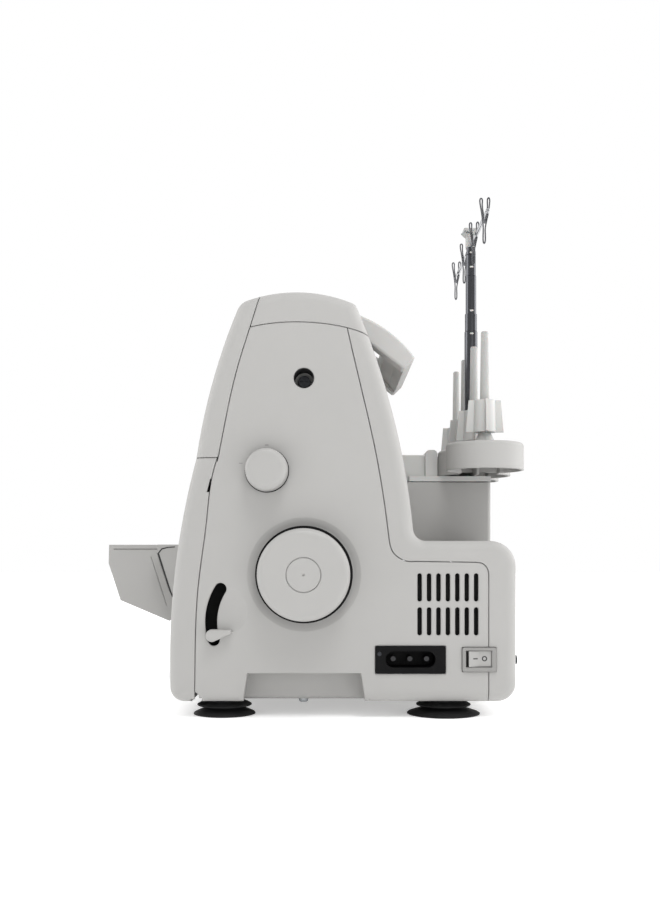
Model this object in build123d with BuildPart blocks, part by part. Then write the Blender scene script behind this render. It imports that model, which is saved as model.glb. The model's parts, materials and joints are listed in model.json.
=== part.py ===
from build123d import *
import math
import os

# Serger overlock machine in millimetres. +Z is up, +X is the operator's right (handwheel side), -Y is the
# front. The origin is on the surface that the machine stands on, under the middle of the whole object.

os.makedirs("parts", exist_ok=True)

# Casing
RIGHT = 161.0
COLUMN_LEFT = -31.0
HEAD_LEFT = -129.0
ARM_LEFT = -165.0
HEAD_BOTTOM = 190.0
BED_TOP = 123.7
UNDERSIDE = 11.2
REAR_FACE = 156.4
BASE_TOP = 124.5
WALL = 2.5
EDGE_R = 8.0
SEAM = 0.5
WAIST_Z = 182.7
BACK_SEAM_Y = 136.3
FLOOR_TOP = UNDERSIDE + WALL

# Handwheel and drive
SHAFT_Y, SHAFT_Z, SHAFT_R = 6.9, 100.9, 6.0
WHEEL_R = 32.0
WHEEL_X0, WHEEL_X1 = 164.5, 183.0
RECESS_R = 40.0
SCOOP_R, SCOOP_DEPTH = 62.0, 2.0
SCOOP_Y, SCOOP_Z = -48.0, 75.0
PULLEY_X0, PULLEY_X1 = 119.0, 131.0
PULLEY_R = 34.0
MOTOR_Y, MOTOR_Z, MOTOR_R = 104.0, 82.0, 27.0
MOTOR_PULLEY_R = 11.0
BELT_GAP, BELT_T, BELT_W = 0.4, 2.4, 7.0
RUNNING_GAP = 0.05

# Controls on the right side
DIAL_Y, DIAL_Z, DIAL_R = -19.0, 173.7, 15.0
SLOT_Y, SLOT_Z, SLOT_R, SLOT_HALF = -15.7, 67.9, 42.6, 4.2
PORT_Y, PORT_Z, PORT_R = 6.8, 238.5, 7.2
INLET_Y0, INLET_Y1, INLET_Z0, INLET_Z1 = 56.7, 106.2, 31.3, 50.9
PIN_YS = (69.6, 81.4, 93.2)
BEZEL_Y0, BEZEL_Y1, BEZEL_Z0, BEZEL_Z1 = 117.5, 141.5, 32.7, 49.9
ROCKER_Y0, ROCKER_Y1, ROCKER_Z0, ROCKER_Z1 = 120.6, 138.0, 36.1, 47.4
ROCKER_TILT = 8.0
GRIP_Y0, GRIP_Y1, GRIP_Z = -36.3, 50.1, 31.6
VENT_Y0, VENT_PITCH, VENT_W, VENT_H = 87.9, 6.6, 3.2, 19.8
VENT_ROWS = (91.8, 68.0)

# Sewing area
NEEDLE_X, NEEDLE_Y = -75.0, -40.0
PRESSER_Y = -14.0
NEEDLE_STROKE = 26.0
ROCKER_ARM_Y, ROCKER_ARM_Z = 8.0, 222.0
PLATE_T = 2.0
LIFTER_Y, LIFTER_Z = 40.0, 206.0
HINGE_Y, HINGE_Z = -71.0, 14.6
HINGE_TRAVEL = 8.0
DIAL_XS = (20.0, 52.0, 84.0, 116.0)
WHEEL_DIAL_Y, WHEEL_DIAL_Z, WHEEL_DIAL_R = -39.5, 241.0, 17.2

# Thread stand
TRAY_Y, TRAY_Z0, TRAY_Z1, DISC_R = 143.2, 178.8, 199.4, 29.4
SPOOL_XS = (94.0, 34.0, -26.0, -86.0)
ROD_X, ROD_Y = 4.0, 144.8
TOWER_X0, TOWER_X1 = -29.0, 39.0

FEET = ((137.0, -51.0), (137.0, 107.0), (-138.0, -46.0), (-138.0, 107.0))


def block(x0, x1, y0, y1, z0, z1, mode=Mode.ADD):
    """Put a block between two corners."""
    with Locations(((x0 + x1) / 2, (y0 + y1) / 2, (z0 + z1) / 2)):
        Box(x1 - x0, y1 - y0, z1 - z0, mode=mode)


def rod(direction, start, length, radius, mode=Mode.ADD):
    """Put a cylinder of a length along a direction from a start point."""
    with BuildSketch(Plane(origin=start, z_dir=direction)) as section:
        Circle(radius)
    extrude(section.sketch, amount=length, mode=mode)


def rod_x(x0, x1, y, z, radius, mode=Mode.ADD):
    """Put a cylinder along X."""
    rod((1, 0, 0), (x0, y, z), x1 - x0, radius, mode)


def rod_y(y0, y1, x, z, radius, mode=Mode.ADD):
    """Put a cylinder along Y."""
    rod((0, 1, 0), (x, y0, z), y1 - y0, radius, mode)


def rod_z(z0, z1, x, y, radius, mode=Mode.ADD):
    """Put a cylinder along Z."""
    rod((0, 0, 1), (x, y, z0), z1 - z0, radius, mode)


def prism_x(x0, x1, points, mode=Mode.ADD, corner=0.0):
    """Put a prism along X whose outline is a list of (y, z) points."""
    with BuildSketch(Plane.YZ.offset(x0)) as section:
        with BuildLine():
            Polyline(*points, close=True)
        make_face()
        if corner:
            fillet(section.vertices(), corner)
    extrude(section.sketch, amount=x1 - x0, mode=mode)


def cone_z(z0, z1, x, y, r0, r1, mode=Mode.ADD):
    """Put a cone frustum along Z."""
    with Locations((x, y, (z0 + z1) / 2)):
        Cone(r0, r1, z1 - z0, mode=mode)


def cone_x(x0, x1, y, z, r0, r1, mode=Mode.ADD):
    """Put a cone frustum along X."""
    with Locations(((x0 + x1) / 2, y, z)):
        Cone(r0, r1, x1 - x0, rotation=(0, 90, 0), mode=mode)


def save(piece, name):
    """Label a finished piece and write its file."""
    piece.part.label = name
    export_step(piece.part, f"parts/{name}.step")


def corner(sketch, y, z):
    """The sketch's vertex that is nearest to a point."""
    return sketch.vertices().sort_by_distance(Vector(y, z))[0]


def side_profile(inset=0.0):
    """The machine's side outline in the YZ plane, drawn in by an inset."""
    with BuildSketch(Plane.YZ) as profile:
        with BuildLine():
            ThreePointArc((-38.4, 292.4), (4, 300.2), (43.2, 291.6))
            ThreePointArc((43.2, 291.6), (67.6, 221.7), (84.6, BASE_TOP))
            Polyline((84.6, BASE_TOP), (REAR_FACE, BASE_TOP), (REAR_FACE, UNDERSIDE), (-87.4, UNDERSIDE))
            ThreePointArc((-87.4, UNDERSIDE), (-85.2, 97), (-69.4, WAIST_Z))
            ThreePointArc((-69.4, WAIST_Z), (-57.9, 237.3), (-38.4, 292.4))
        make_face()
        for y, z, radius in (
            (-38.4, 292.4, 12),
            (43.2, 291.6, 7),
            (84.6, BASE_TOP, 9),
            (REAR_FACE, BASE_TOP, 18),
            (REAR_FACE, UNDERSIDE, 13),
            (-87.4, UNDERSIDE, 10),
        ):
            fillet(corner(profile, y, z), radius)
        if inset:
            offset(amount=-inset, mode=Mode.REPLACE)
    return profile.sketch


def envelope(inset=0.0):
    """The body's solid envelope: the full profile on the right, the head alone past the column."""
    edge = EDGE_R - inset
    with BuildPart() as body:
        section = side_profile(inset).moved(Location((HEAD_LEFT + inset, 0, 0)))
        extrude(section, amount=RIGHT - HEAD_LEFT - 2 * inset, dir=(1, 0, 0))
        fillet(body.faces().sort_by(Axis.X)[-1].edges(), edge)
        fillet(body.faces().sort_by(Axis.X)[0].edges().filter_by_position(Axis.Z, 200, 400), edge)
        block(-200, COLUMN_LEFT + inset, -250, 250, 0, HEAD_BOTTOM + inset, mode=Mode.SUBTRACT)
    return body.part


def band(points, x0=HEAD_LEFT - 1, x1=RIGHT + 1, width=SEAM, mode=Mode.SUBTRACT):
    """Cut a thin band along X that follows a smooth (y, z) line, which leaves a seam in a shell."""
    with BuildSketch(Plane.YZ.offset(x0)) as strip:
        with BuildLine():
            Spline(*points) if len(points) > 2 else Line(*points)
        trace(line_width=width)
    extrude(strip.sketch, amount=x1 - x0, mode=mode)


# The five seams that the side view shows, each as a (y, z) line
FRONT_SEAM = [(-22.5, 302), (-31, 274.2), (-40.2, 244.4), (-50.5, 197.1), (-53.9, 180)]
COVER_SEAM = [(-52.4, 186), (-55.1, 178.8), (-61.6, 136.8), (-67.4, 91.4), (-69.3, 52.6), (-69.8, 8)]
WAIST_SEAM = [(-75, WAIST_Z), (-53, WAIST_Z)]
CAP_SEAM = [(-31.2, 274.2), (-9.4, 277.5), (16.3, 277.2), (35.3, 274.2), (56, 267)]
REAR_SEAM = [(37.2, 273.4), (47.1, 231), (57.3, 185.8), (66.3, 127), (68.9, 117), (76.3, 111), (84, 110)]

with BuildPart() as casing:
    add(envelope())
    add(envelope(WALL), mode=Mode.SUBTRACT)
    band(FRONT_SEAM)
    band(COVER_SEAM)
    band(WAIST_SEAM)
    band(CAP_SEAM)
    band(REAR_SEAM)
    band([(83.5, 110.05), (128, 109.4)])
    band([(127.5, 109.4), (133.5, 107.4), (BACK_SEAM_Y, 101)])
    band([(BACK_SEAM_Y, 101.5), (BACK_SEAM_Y, 8)])
    block(COLUMN_LEFT - 1, RIGHT - 14, -69.7, BACK_SEAM_Y, UNDERSIDE - 1, FLOOR_TOP + 0.3, mode=Mode.SUBTRACT)


def casing_piece(x, y, z):
    """The piece of the casing that a point lies on."""
    return casing.part.solids().sort_by(lambda s: s.distance_to(Vertex(x, y, z)))[0]


def arc_slot(x, radius, start, end, width):
    """Cut a round-ended slot along an arc about the feed lever's stud, from a depth outwards."""
    with BuildSketch(Plane.YZ.offset(x)) as slot:
        with BuildLine():
            CenterArc((SLOT_Y, SLOT_Z), radius, start, end - start)
        trace(line_width=width)
        for angle in (math.radians(start), math.radians(end)):
            with Locations((SLOT_Y + radius * math.cos(angle), SLOT_Z + radius * math.sin(angle))):
                Circle(width / 2)
    extrude(slot.sketch, amount=20, mode=Mode.SUBTRACT)


# ---------------------------------------------------------------- casings

with BuildPart() as right_side_cover:
    add(casing_piece(RIGHT, 0, 150))
    # Hand grip pocket at the bottom edge
    block(140, 159, GRIP_Y0 - WALL, GRIP_Y1 + WALL, UNDERSIDE + 1.5, GRIP_Z + WALL)
    prism_x(143, 162, [(GRIP_Y0 + 3.4, GRIP_Z), (GRIP_Y1 - 3.4, GRIP_Z), (GRIP_Y1, 10), (GRIP_Y0, 10)],
            Mode.SUBTRACT)
    # Dished ring around the handwheel, and its hub hole
    cone_x(RIGHT - 1.6, RIGHT, SHAFT_Y, SHAFT_Z, WHEEL_R + 3, RECESS_R, Mode.SUBTRACT)
    rod_x(150, RIGHT + 1, SHAFT_Y, SHAFT_Z, 14.5, Mode.SUBTRACT)
    # Stitch dial: a raised boss inside and the hole of its shaft
    rod_x(152, RIGHT - 1, DIAL_Y, DIAL_Z, 8)
    rod_x(151, RIGHT + 1, DIAL_Y, DIAL_Z, 4 + RUNNING_GAP, Mode.SUBTRACT)
    # Screw port: a blind tube through the wall
    rod_x(139, RIGHT - 1, PORT_Y, PORT_Z, PORT_R + 2)
    rod_x(141, RIGHT + 1, PORT_Y, PORT_Z, PORT_R, Mode.SUBTRACT)
    rod_x(138, 142, PORT_Y, PORT_Z, 2.2, Mode.SUBTRACT)
    # Differential feed slot, its finger scoop and the stud that its lever turns on
    rod_x(144, RIGHT - 1, SLOT_Y, SLOT_Z, 3)
    arc_slot(150, SLOT_R, 147.5, 197.5, 2 * SLOT_HALF)
    with Locations((RIGHT + SCOOP_R - SCOOP_DEPTH, SCOOP_Y, SCOOP_Z)):
        Sphere(SCOOP_R, mode=Mode.SUBTRACT)
    # Vents
    for row_z in VENT_ROWS:
        with BuildSketch(Plane.YZ.offset(150)) as vents:
            with Locations((VENT_Y0 + 3 * VENT_PITCH, row_z)):
                with GridLocations(VENT_PITCH, 1, 7, 1):
                    SlotOverall(VENT_H, VENT_W, rotation=90)
        extrude(vents.sketch, amount=20, mode=Mode.SUBTRACT)
    block(150, 165, INLET_Y0, INLET_Y1, INLET_Z0, INLET_Z1, Mode.SUBTRACT)
    block(150, 165, BEZEL_Y0, BEZEL_Y1, BEZEL_Z0, BEZEL_Z1, Mode.SUBTRACT)
    # Room at the lower front corner for the looper cover's hinge swing
    rod_x(140, RIGHT - 2, HINGE_Y, HINGE_Z, 6.2, Mode.SUBTRACT)
    rod_x(140, 165, HINGE_Y, HINGE_Z, 4.2, Mode.SUBTRACT)
save(right_side_cover, "right_side_cover")

with BuildPart() as rear_cover:
    add(casing_piece(60, REAR_FACE, 70))
    block(150, 165, BEZEL_Y0, BEZEL_Y1, BEZEL_Z0, BEZEL_Z1, Mode.SUBTRACT)
    for row_z in (60.0, 84.0):
        with BuildSketch(Plane.XZ.offset(-REAR_FACE - 5)) as rear_vents:
            with Locations((66, row_z)):
                with GridLocations(8, 1, 9, 1):
                    SlotOverall(18, VENT_W, rotation=90)
        extrude(rear_vents.sketch, amount=12, mode=Mode.SUBTRACT)
save(rear_cover, "rear_cover")

with BuildPart() as top_cap:
    add(casing_piece(0, 4, 300.2))
save(top_cap, "top_cap")

with BuildPart() as front_panel:
    add(casing_piece(0, -57.5, 237))
    for x in DIAL_XS:
        block(x - 5, x + 5, -80, -40, WHEEL_DIAL_Z - 10, WHEEL_DIAL_Z + 16, Mode.SUBTRACT)
        with BuildSketch(Plane.XZ.offset(30)) as thread_groove:
            with Locations((x + 11, 240)):
                SlotOverall(84, 2.2, rotation=90)
        extrude(thread_groove.sketch, amount=60, mode=Mode.SUBTRACT)
save(front_panel, "front_panel")

with BuildPart() as left_side_cover:
    add(casing_piece(-80, 40, HEAD_BOTTOM))
    block(COLUMN_LEFT - 1, COLUMN_LEFT + 4, -90, -7, 62, 123, Mode.SUBTRACT)
    rod_z(180, 200, NEEDLE_X, NEEDLE_Y, 5, Mode.SUBTRACT)
    rod_z(180, 200, NEEDLE_X, PRESSER_Y, 6, Mode.SUBTRACT)
    block(-112, -104, 26, 64, 180, 200, Mode.SUBTRACT)
    block(-62, -44, -34, -16, 180, 200, Mode.SUBTRACT)
save(left_side_cover, "left_side_cover")

with BuildPart() as looper_cover:
    add(casing_piece(60, -85, 97))
    block(COLUMN_LEFT - 2, COLUMN_LEFT + 4, -84, -50, 8, 126.5, Mode.SUBTRACT)
    # Notch on the side seam for the catch
    prism_x(150, 165, [(-58.9, 168), (-50, 168), (-50, 158.6), (-61.3, 158.6)], Mode.SUBTRACT)
    # Room for the hinge pin and for the base pan's lugs over the sideways travel
    rod_x(-40, RIGHT - 4, HINGE_Y, HINGE_Z, 3.4, Mode.SUBTRACT)
    block(COLUMN_LEFT - 1, RIGHT - 3, -72.6, -69, 8, 14, Mode.SUBTRACT)
    for x in (24.0, 100.0):
        rod_x(x - HINGE_TRAVEL - 1.5, x + 8, HINGE_Y, HINGE_Z, 6.5, Mode.SUBTRACT)
        block(x - HINGE_TRAVEL - 1.5, x + 8, -79, -60, 8, 17, Mode.SUBTRACT)
    for x in (4.0, 78.0):
        rod_x(x, x + 8, HINGE_Y, HINGE_Z, 3)
        block(x, x + 8, -86, HINGE_Y, HINGE_Z - 1.5, HINGE_Z + 3)
        rod_x(x - 1, x + 9, HINGE_Y, HINGE_Z, 1.5 + RUNNING_GAP, Mode.SUBTRACT)
    for x in (COLUMN_LEFT + 30, 62.0, 130.0):
        block(x, x + 2.5, -88, -77, 24, 90)
save(looper_cover, "looper_cover")

with BuildPart() as base_pan:
    # Raised left part under the free arm, hollow from below
    block(ARM_LEFT, COLUMN_LEFT - 0.6, -70, 150, UNDERSIDE, 46)
    fillet(base_pan.edges().filter_by(Axis.Z).sort_by(Axis.X)[:2], 6)
    fillet(base_pan.faces().sort_by(Axis.Z)[-1].edges(), 4)
    block(ARM_LEFT + WALL, COLUMN_LEFT - 3.1, -67.5, 147.5, FLOOR_TOP, 43.5, Mode.SUBTRACT)
    block(COLUMN_LEFT - 1, RIGHT - 14.5, -62, BACK_SEAM_Y - 0.5, UNDERSIDE, FLOOR_TOP)
    for x, y in FEET:
        rod_z(FLOOR_TOP - 1, FLOOR_TOP + 7, min(x, 134), y, 8)
        rod_z(UNDERSIDE - 1, FLOOR_TOP + 4, min(x, 134), y, 3, Mode.SUBTRACT)
    # Lugs that carry the looper cover's hinge pin
    for x in (24.0, 100.0):
        block(x, x + 6, HINGE_Y, -60, UNDERSIDE + 0.6, HINGE_Z + 2)
        rod_x(x, x + 6, HINGE_Y, HINGE_Z, 3)
        rod_x(x - 1, x + 7, HINGE_Y, HINGE_Z, 1.5 + RUNNING_GAP, Mode.SUBTRACT)
    block(139.6, RIGHT - 14, GRIP_Y0 - WALL - SEAM, GRIP_Y1 + WALL + SEAM, 5, 30, Mode.SUBTRACT)
    for y in (-40.0, 10.0, 90.0):
        block(-20, 130, y, y + 2.5, FLOOR_TOP, 20)
save(base_pan, "base_pan")

ARM_PROFILE = [(-126, BED_TOP), (-126.4, 116), (-115.5, 82.5), (-106, 62), (-8, 62), (-8, BED_TOP)]

with BuildPart() as free_arm:
    prism_x(ARM_LEFT, COLUMN_LEFT - 0.5, ARM_PROFILE)
    fillet(free_arm.faces().sort_by(Axis.X)[0].edges(), 5)
    prism_x(ARM_LEFT + WALL, COLUMN_LEFT - 3, [(y * 0.955 - 2.6, z * 0.92 + 7) for y, z in ARM_PROFILE],
            Mode.SUBTRACT)
    block(COLUMN_LEFT - 5, COLUMN_LEFT + 5, -84, -12, 65, 120.5, Mode.SUBTRACT)
    # Opening that the needle plate drops into, with a ledge around it
    block(-112, -42, -78, -10.8, BED_TOP - PLATE_T, BED_TOP + 1, Mode.SUBTRACT)
    block(-109, -45, -75, -13, 110, BED_TOP + 1, Mode.SUBTRACT)
save(free_arm, "free_arm")

with BuildPart() as needle_plate:
    block(-111.7, -42.3, -77.7, -11.1, BED_TOP - PLATE_T, BED_TOP)
    fillet(needle_plate.edges().filter_by(Axis.Z), 3)
    block(NEEDLE_X - 3.5, NEEDLE_X + 3.5, NEEDLE_Y - 3, NEEDLE_Y + 2.5, 110, 130, Mode.SUBTRACT)
    for x in (NEEDLE_X - 9, NEEDLE_X + 4.6, NEEDLE_X - 5.4):
        block(x - 0.3, x + 3.7, NEEDLE_Y + 5, NEEDLE_Y + 26, 110, 130, Mode.SUBTRACT)
    block(-63.5, -48, -62, -34, 110, 130, Mode.SUBTRACT)
    for x, y in ((-104, -70), (-104, -20), (-50, -20)):
        rod_z(110, 130, x, y, 1.8, Mode.SUBTRACT)
        cone_z(BED_TOP - 1, BED_TOP + 0.01, x, y, 1.8, 3.2, Mode.SUBTRACT)
save(needle_plate, "needle_plate")

TABLE_PROFILE = [(-172.6, BED_TOP), (-173, 107.3), (-162.3, 74), (-118.6, 55.4), (-107.6, 60.8),
                 (-116.6, 82.2), (-127.4, 115.7), (-127, BED_TOP)]

with BuildPart() as extension_table:
    prism_x(-183, -51, TABLE_PROFILE)
    block(-183, ARM_LEFT - 0.8, -130, 44, 61, BED_TOP)
    block(-183, COLUMN_LEFT - 1.5, -7, 44, 61, BED_TOP)
    prism_x(-180.5, -53.5, [(-167, 118), (-169, 107), (-159.8, 77), (-122, 62), (-120, 82), (-131, 117)],
            Mode.SUBTRACT)
    block(-180.5, ARM_LEFT - 3.3, -133, 41, 55, BED_TOP - 3, Mode.SUBTRACT)
    block(-180.5, COLUMN_LEFT - 4, -4.5, 41.5, 55, BED_TOP - 3, Mode.SUBTRACT)
    fillet(extension_table.edges().filter_by(Axis.Z).filter_by_position(Axis.X, -183.1, -182.9), 5)
    # Parting grooves of the end cap: under the top ridge and along its slanted rear edge
    prism_x(-51.8, -50, [(-168.4, 119.4), (-168.4, 120.2), (-129.6, 120.2), (-129.6, 119.4)], Mode.SUBTRACT)
    prism_x(-52.4, -50, [(-129.4, 116.2), (-127.9, 115.9), (-117, 82), (-118.4, 81.8)], Mode.SUBTRACT)
    prism_x(-51.6, -50, [(-135.2, 113.2), (-134.7, 113.2), (-120.6, 69.6), (-121.1, 69.4)], Mode.SUBTRACT)
save(extension_table, "extension_table")

with BuildPart() as thread_bay_wall:
    block(COLUMN_LEFT + WALL + 0.4, RIGHT - WALL - 18, -49.5, -47, 22, 176)
    block(COLUMN_LEFT, COLUMN_LEFT + 22, -52, -45, 60, 124, Mode.SUBTRACT)
    with BuildSketch(Plane.XZ.offset(40)) as bay_windows:
        with Locations((20, 90), (110, 90)):
            RectangleRounded(36, 70, 6)
    extrude(bay_windows.sketch, amount=15, mode=Mode.SUBTRACT)
    for x in (40.0, 88.0, 134.0):
        block(x, x + 3, -49.5, -43, 22, 150)
    # Eyelets of the thread path
    for x in (5.0, 52.0, 66.0, 80.0):
        with BuildSketch(Plane(origin=(x, -52.6, 140), z_dir=(1, 0, 0))) as eyelet:
            Circle(4)
            Circle(2.4, mode=Mode.SUBTRACT)
        extrude(eyelet.sketch, amount=1.6)
save(thread_bay_wall, "thread_bay_wall")

with BuildPart() as cover_hinge_pin:
    rod_x(-6, 124, HINGE_Y, HINGE_Z, 1.5)
    for x in (-0.5, 90.0):
        rod_x(x, x + 1.5, HINGE_Y, HINGE_Z, 2.6)
save(cover_hinge_pin, "cover_hinge_pin")

# ---------------------------------------------------------------- frame and drive

with BuildPart() as main_frame:
    block(-22, 136, -38, 138, 22, 28)
    for x in (-12.0, 122.0):
        for y in (-28.0, 60.0, 120.0):
            rod_z(FLOOR_TOP, 22, x, y, 6)
    prism_x(100, 106, [(-40, 28), (-40, 150), (-20, 250), (24, 250), (40, 180), (44, 28)])
    prism_x(-24, -18, [(-36, 28), (-36, 150), (-20, 250), (24, 250), (40, 180), (44, 28)])
    block(-118, 100, 14, 20, 205, 250)
    block(-118, -24, -4, 20, 244, 250)
    # Bearing lugs of the needle bar and the presser bar
    for z in (194.0, 246.0):
        block(NEEDLE_X - 8, NEEDLE_X + 8, NEEDLE_Y - 7, 16, z, z + 9)
    block(NEEDLE_X - 8, NEEDLE_X + 8, 4, 16, 194, 255)
    block(NEEDLE_X - 10, NEEDLE_X + 16, -30, 3.9, 203, 243, Mode.SUBTRACT)
    rod_z(190, 270, NEEDLE_X, NEEDLE_Y, 3.6 + RUNNING_GAP, Mode.SUBTRACT)
    rod_z(190, 270, NEEDLE_X, PRESSER_Y, 4 + RUNNING_GAP, Mode.SUBTRACT)
    # Rocker shaft bores, main shaft bush seats
    rod_x(-122, 110, ROCKER_ARM_Y, ROCKER_ARM_Z, 5 + RUNNING_GAP, Mode.SUBTRACT)
    rod_x(NEEDLE_X + 6.4, NEEDLE_X + 14.6, ROCKER_ARM_Y, ROCKER_ARM_Z, 9.6, Mode.SUBTRACT)
    for x in (-27.0, 98.0):
        rod_x(x, x + 12, SHAFT_Y, SHAFT_Z, 14)
        rod_x(x - 1, x + 13, SHAFT_Y, SHAFT_Z, 9, Mode.SUBTRACT)
    # Lifter lever's pin and its bracket
    rod_x(-118, -98, LIFTER_Y, LIFTER_Z, 3)
    block(-121, -118, LIFTER_Y - 5, LIFTER_Y + 5, LIFTER_Z - 5, LIFTER_Z + 12)
    block(-121, -112, 14, LIFTER_Y + 5, LIFTER_Z + 9, LIFTER_Z + 12)
    # Lower arm that carries the loopers inside the free arm
    block(-112, -24, -20, -14, 68, 96)
    block(-34, -18, -20, -13, 68, 96)
    # Boss that the right side cover's screw goes into
    rod_x(106, 139, PORT_Y, PORT_Z, 6)
    # Brackets of the tension spindle
    for x in (36.0, 68.0, 100.0):
        block(x - 2, x + 2, WHEEL_DIAL_Y - 5, 14, WHEEL_DIAL_Z - 5, WHEEL_DIAL_Z + 5)
    rod_x(0, 140, WHEEL_DIAL_Y, WHEEL_DIAL_Z, 3, Mode.SUBTRACT)
    # Motor seat
    block(24, 100, 80, 130, 28, 50)
    rod_x(20, 104, MOTOR_Y, MOTOR_Z, MOTOR_R, Mode.SUBTRACT)
    block(34, 90, 76, 134, 28, 46, Mode.SUBTRACT)
save(main_frame, "main_frame")

with BuildPart() as main_shaft:
    rod_x(-27.5, 172, SHAFT_Y, SHAFT_Z, SHAFT_R)
    for x in (4.0, 30.0, 60.0):
        with Locations((x + 4, SHAFT_Y + 3, SHAFT_Z)):
            Cylinder(12, 8, rotation=(0, 90, 0))
save(main_shaft, "main_shaft")

with BuildPart() as shaft_bushes:
    for x in (-27.0, 98.0):
        rod_x(x, x + 12, SHAFT_Y, SHAFT_Z, 9)
        rod_x(x - 1, x + 13, SHAFT_Y, SHAFT_Z, SHAFT_R + RUNNING_GAP, Mode.SUBTRACT)
save(shaft_bushes, "shaft_bushes")

with BuildPart() as drive_pulley:
    rod_x(PULLEY_X0, PULLEY_X1, SHAFT_Y, SHAFT_Z, PULLEY_R + 3)
    rod_x(PULLEY_X0 + 2, PULLEY_X1 - 2, SHAFT_Y, SHAFT_Z, PULLEY_R + 5, Mode.SUBTRACT)
    rod_x(PULLEY_X0, PULLEY_X1, SHAFT_Y, SHAFT_Z, PULLEY_R)
    for x in (PULLEY_X0 - 1, PULLEY_X1 - 4):
        rod_x(x, x + 5, SHAFT_Y, SHAFT_Z, PULLEY_R - 5, Mode.SUBTRACT)
    rod_x(PULLEY_X0, PULLEY_X1 + 6, SHAFT_Y, SHAFT_Z, 11)
    for k in range(5):
        angle = 2 * math.pi * k / 5
        rod_x(PULLEY_X0 - 1, PULLEY_X1 + 1, SHAFT_Y + 20 * math.cos(angle), SHAFT_Z + 20 * math.sin(angle), 5,
              Mode.SUBTRACT)
    rod_x(PULLEY_X0 - 1, PULLEY_X1 + 7, SHAFT_Y, SHAFT_Z, SHAFT_R, Mode.SUBTRACT)
save(drive_pulley, "drive_pulley")


def belt_loop(gap):
    """The outline of a loop around both pulleys at a distance from their rims, in the YZ plane."""
    big, small = PULLEY_R + gap, MOTOR_PULLEY_R + gap
    dy, dz = MOTOR_Y - SHAFT_Y, MOTOR_Z - SHAFT_Z
    lean = math.atan2(dz, dy)
    spread = math.acos((big - small) / math.hypot(dy, dz))
    ends = []
    for side in (1, -1):
        a = lean + side * spread
        ends.append(((SHAFT_Y + big * math.cos(a), SHAFT_Z + big * math.sin(a)),
                     (MOTOR_Y + small * math.cos(a), MOTOR_Z + small * math.sin(a))))
    back = (SHAFT_Y - big * math.cos(lean), SHAFT_Z - big * math.sin(lean))
    nose = (MOTOR_Y + small * math.cos(lean), MOTOR_Z + small * math.sin(lean))
    with BuildSketch(Plane.YZ) as loop:
        with BuildLine():
            Line(ends[0][0], ends[0][1])
            ThreePointArc(ends[0][1], nose, ends[1][1])
            Line(ends[1][1], ends[1][0])
            ThreePointArc(ends[1][0], back, ends[0][0])
        make_face()
    return loop.sketch.moved(Location(((PULLEY_X0 + PULLEY_X1 - BELT_W) / 2, 0, 0)))


with BuildPart() as drive_belt:
    extrude(belt_loop(BELT_GAP + BELT_T), amount=BELT_W, dir=(1, 0, 0))
    extrude(belt_loop(BELT_GAP), amount=BELT_W, dir=(1, 0, 0), mode=Mode.SUBTRACT)
save(drive_belt, "drive_belt")

with BuildPart() as motor:
    rod_x(26, 106, MOTOR_Y, MOTOR_Z, MOTOR_R)
    rod_x(22, 26, MOTOR_Y, MOTOR_Z, 14)
    rod_x(106, 109, MOTOR_Y, MOTOR_Z, 10)
    fillet(motor.edges().filter_by(GeomType.CIRCLE).filter_by(lambda e: e.radius > 26), 3)
    rod_x(60, 112, MOTOR_Y, MOTOR_Z, 4 + RUNNING_GAP, Mode.SUBTRACT)
save(motor, "motor")

with BuildPart() as motor_pulley:
    rod_x(61, 133, MOTOR_Y, MOTOR_Z, 4)
    rod_x(PULLEY_X0 + 1, PULLEY_X1 - 1, MOTOR_Y, MOTOR_Z, MOTOR_PULLEY_R)
    for x in (PULLEY_X0, PULLEY_X1 - 1.5):
        rod_x(x, x + 1.5, MOTOR_Y, MOTOR_Z, MOTOR_PULLEY_R + 4)
save(motor_pulley, "motor_pulley")

with BuildPart() as handwheel:
    rod_x(WHEEL_X0, WHEEL_X1, SHAFT_Y, SHAFT_Z, WHEEL_R)
    fillet(handwheel.faces().sort_by(Axis.X)[-1].edges(), 3.5)
    rod_x(WHEEL_X0 - 2, WHEEL_X0 + 1, SHAFT_Y, SHAFT_Z, WHEEL_R + 2.2)
    rod_x(WHEEL_X0 - 3, 174, SHAFT_Y, SHAFT_Z, WHEEL_R - 5, Mode.SUBTRACT)
    rod_x(138, 175, SHAFT_Y, SHAFT_Z, 11)
    # Flat facet across the top of the rim face
    block(WHEEL_X1 - 1.2, WHEEL_X1 + 1, SHAFT_Y - 40, SHAFT_Y + 40, SHAFT_Z + 25.5, SHAFT_Z + 40, Mode.SUBTRACT)
    rod_x(WHEEL_X1 - 3, WHEEL_X1 + 1, SHAFT_Y, SHAFT_Z, 12, Mode.SUBTRACT)
    rod_x(130, 172, SHAFT_Y, SHAFT_Z, SHAFT_R, Mode.SUBTRACT)
save(handwheel, "handwheel")

with BuildPart() as handwheel_cap:
    rod_x(WHEEL_X1 - 3, WHEEL_X1 - 0.3, SHAFT_Y, SHAFT_Z, 11.8)
    fillet(handwheel_cap.faces().sort_by(Axis.X)[-1].edges(), 0.4)
    rod_x(WHEEL_X1 - 1.3, WHEEL_X1, SHAFT_Y, SHAFT_Z, 0.8, Mode.SUBTRACT)
save(handwheel_cap, "handwheel_cap")

# ---------------------------------------------------------------- sewing parts

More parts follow.
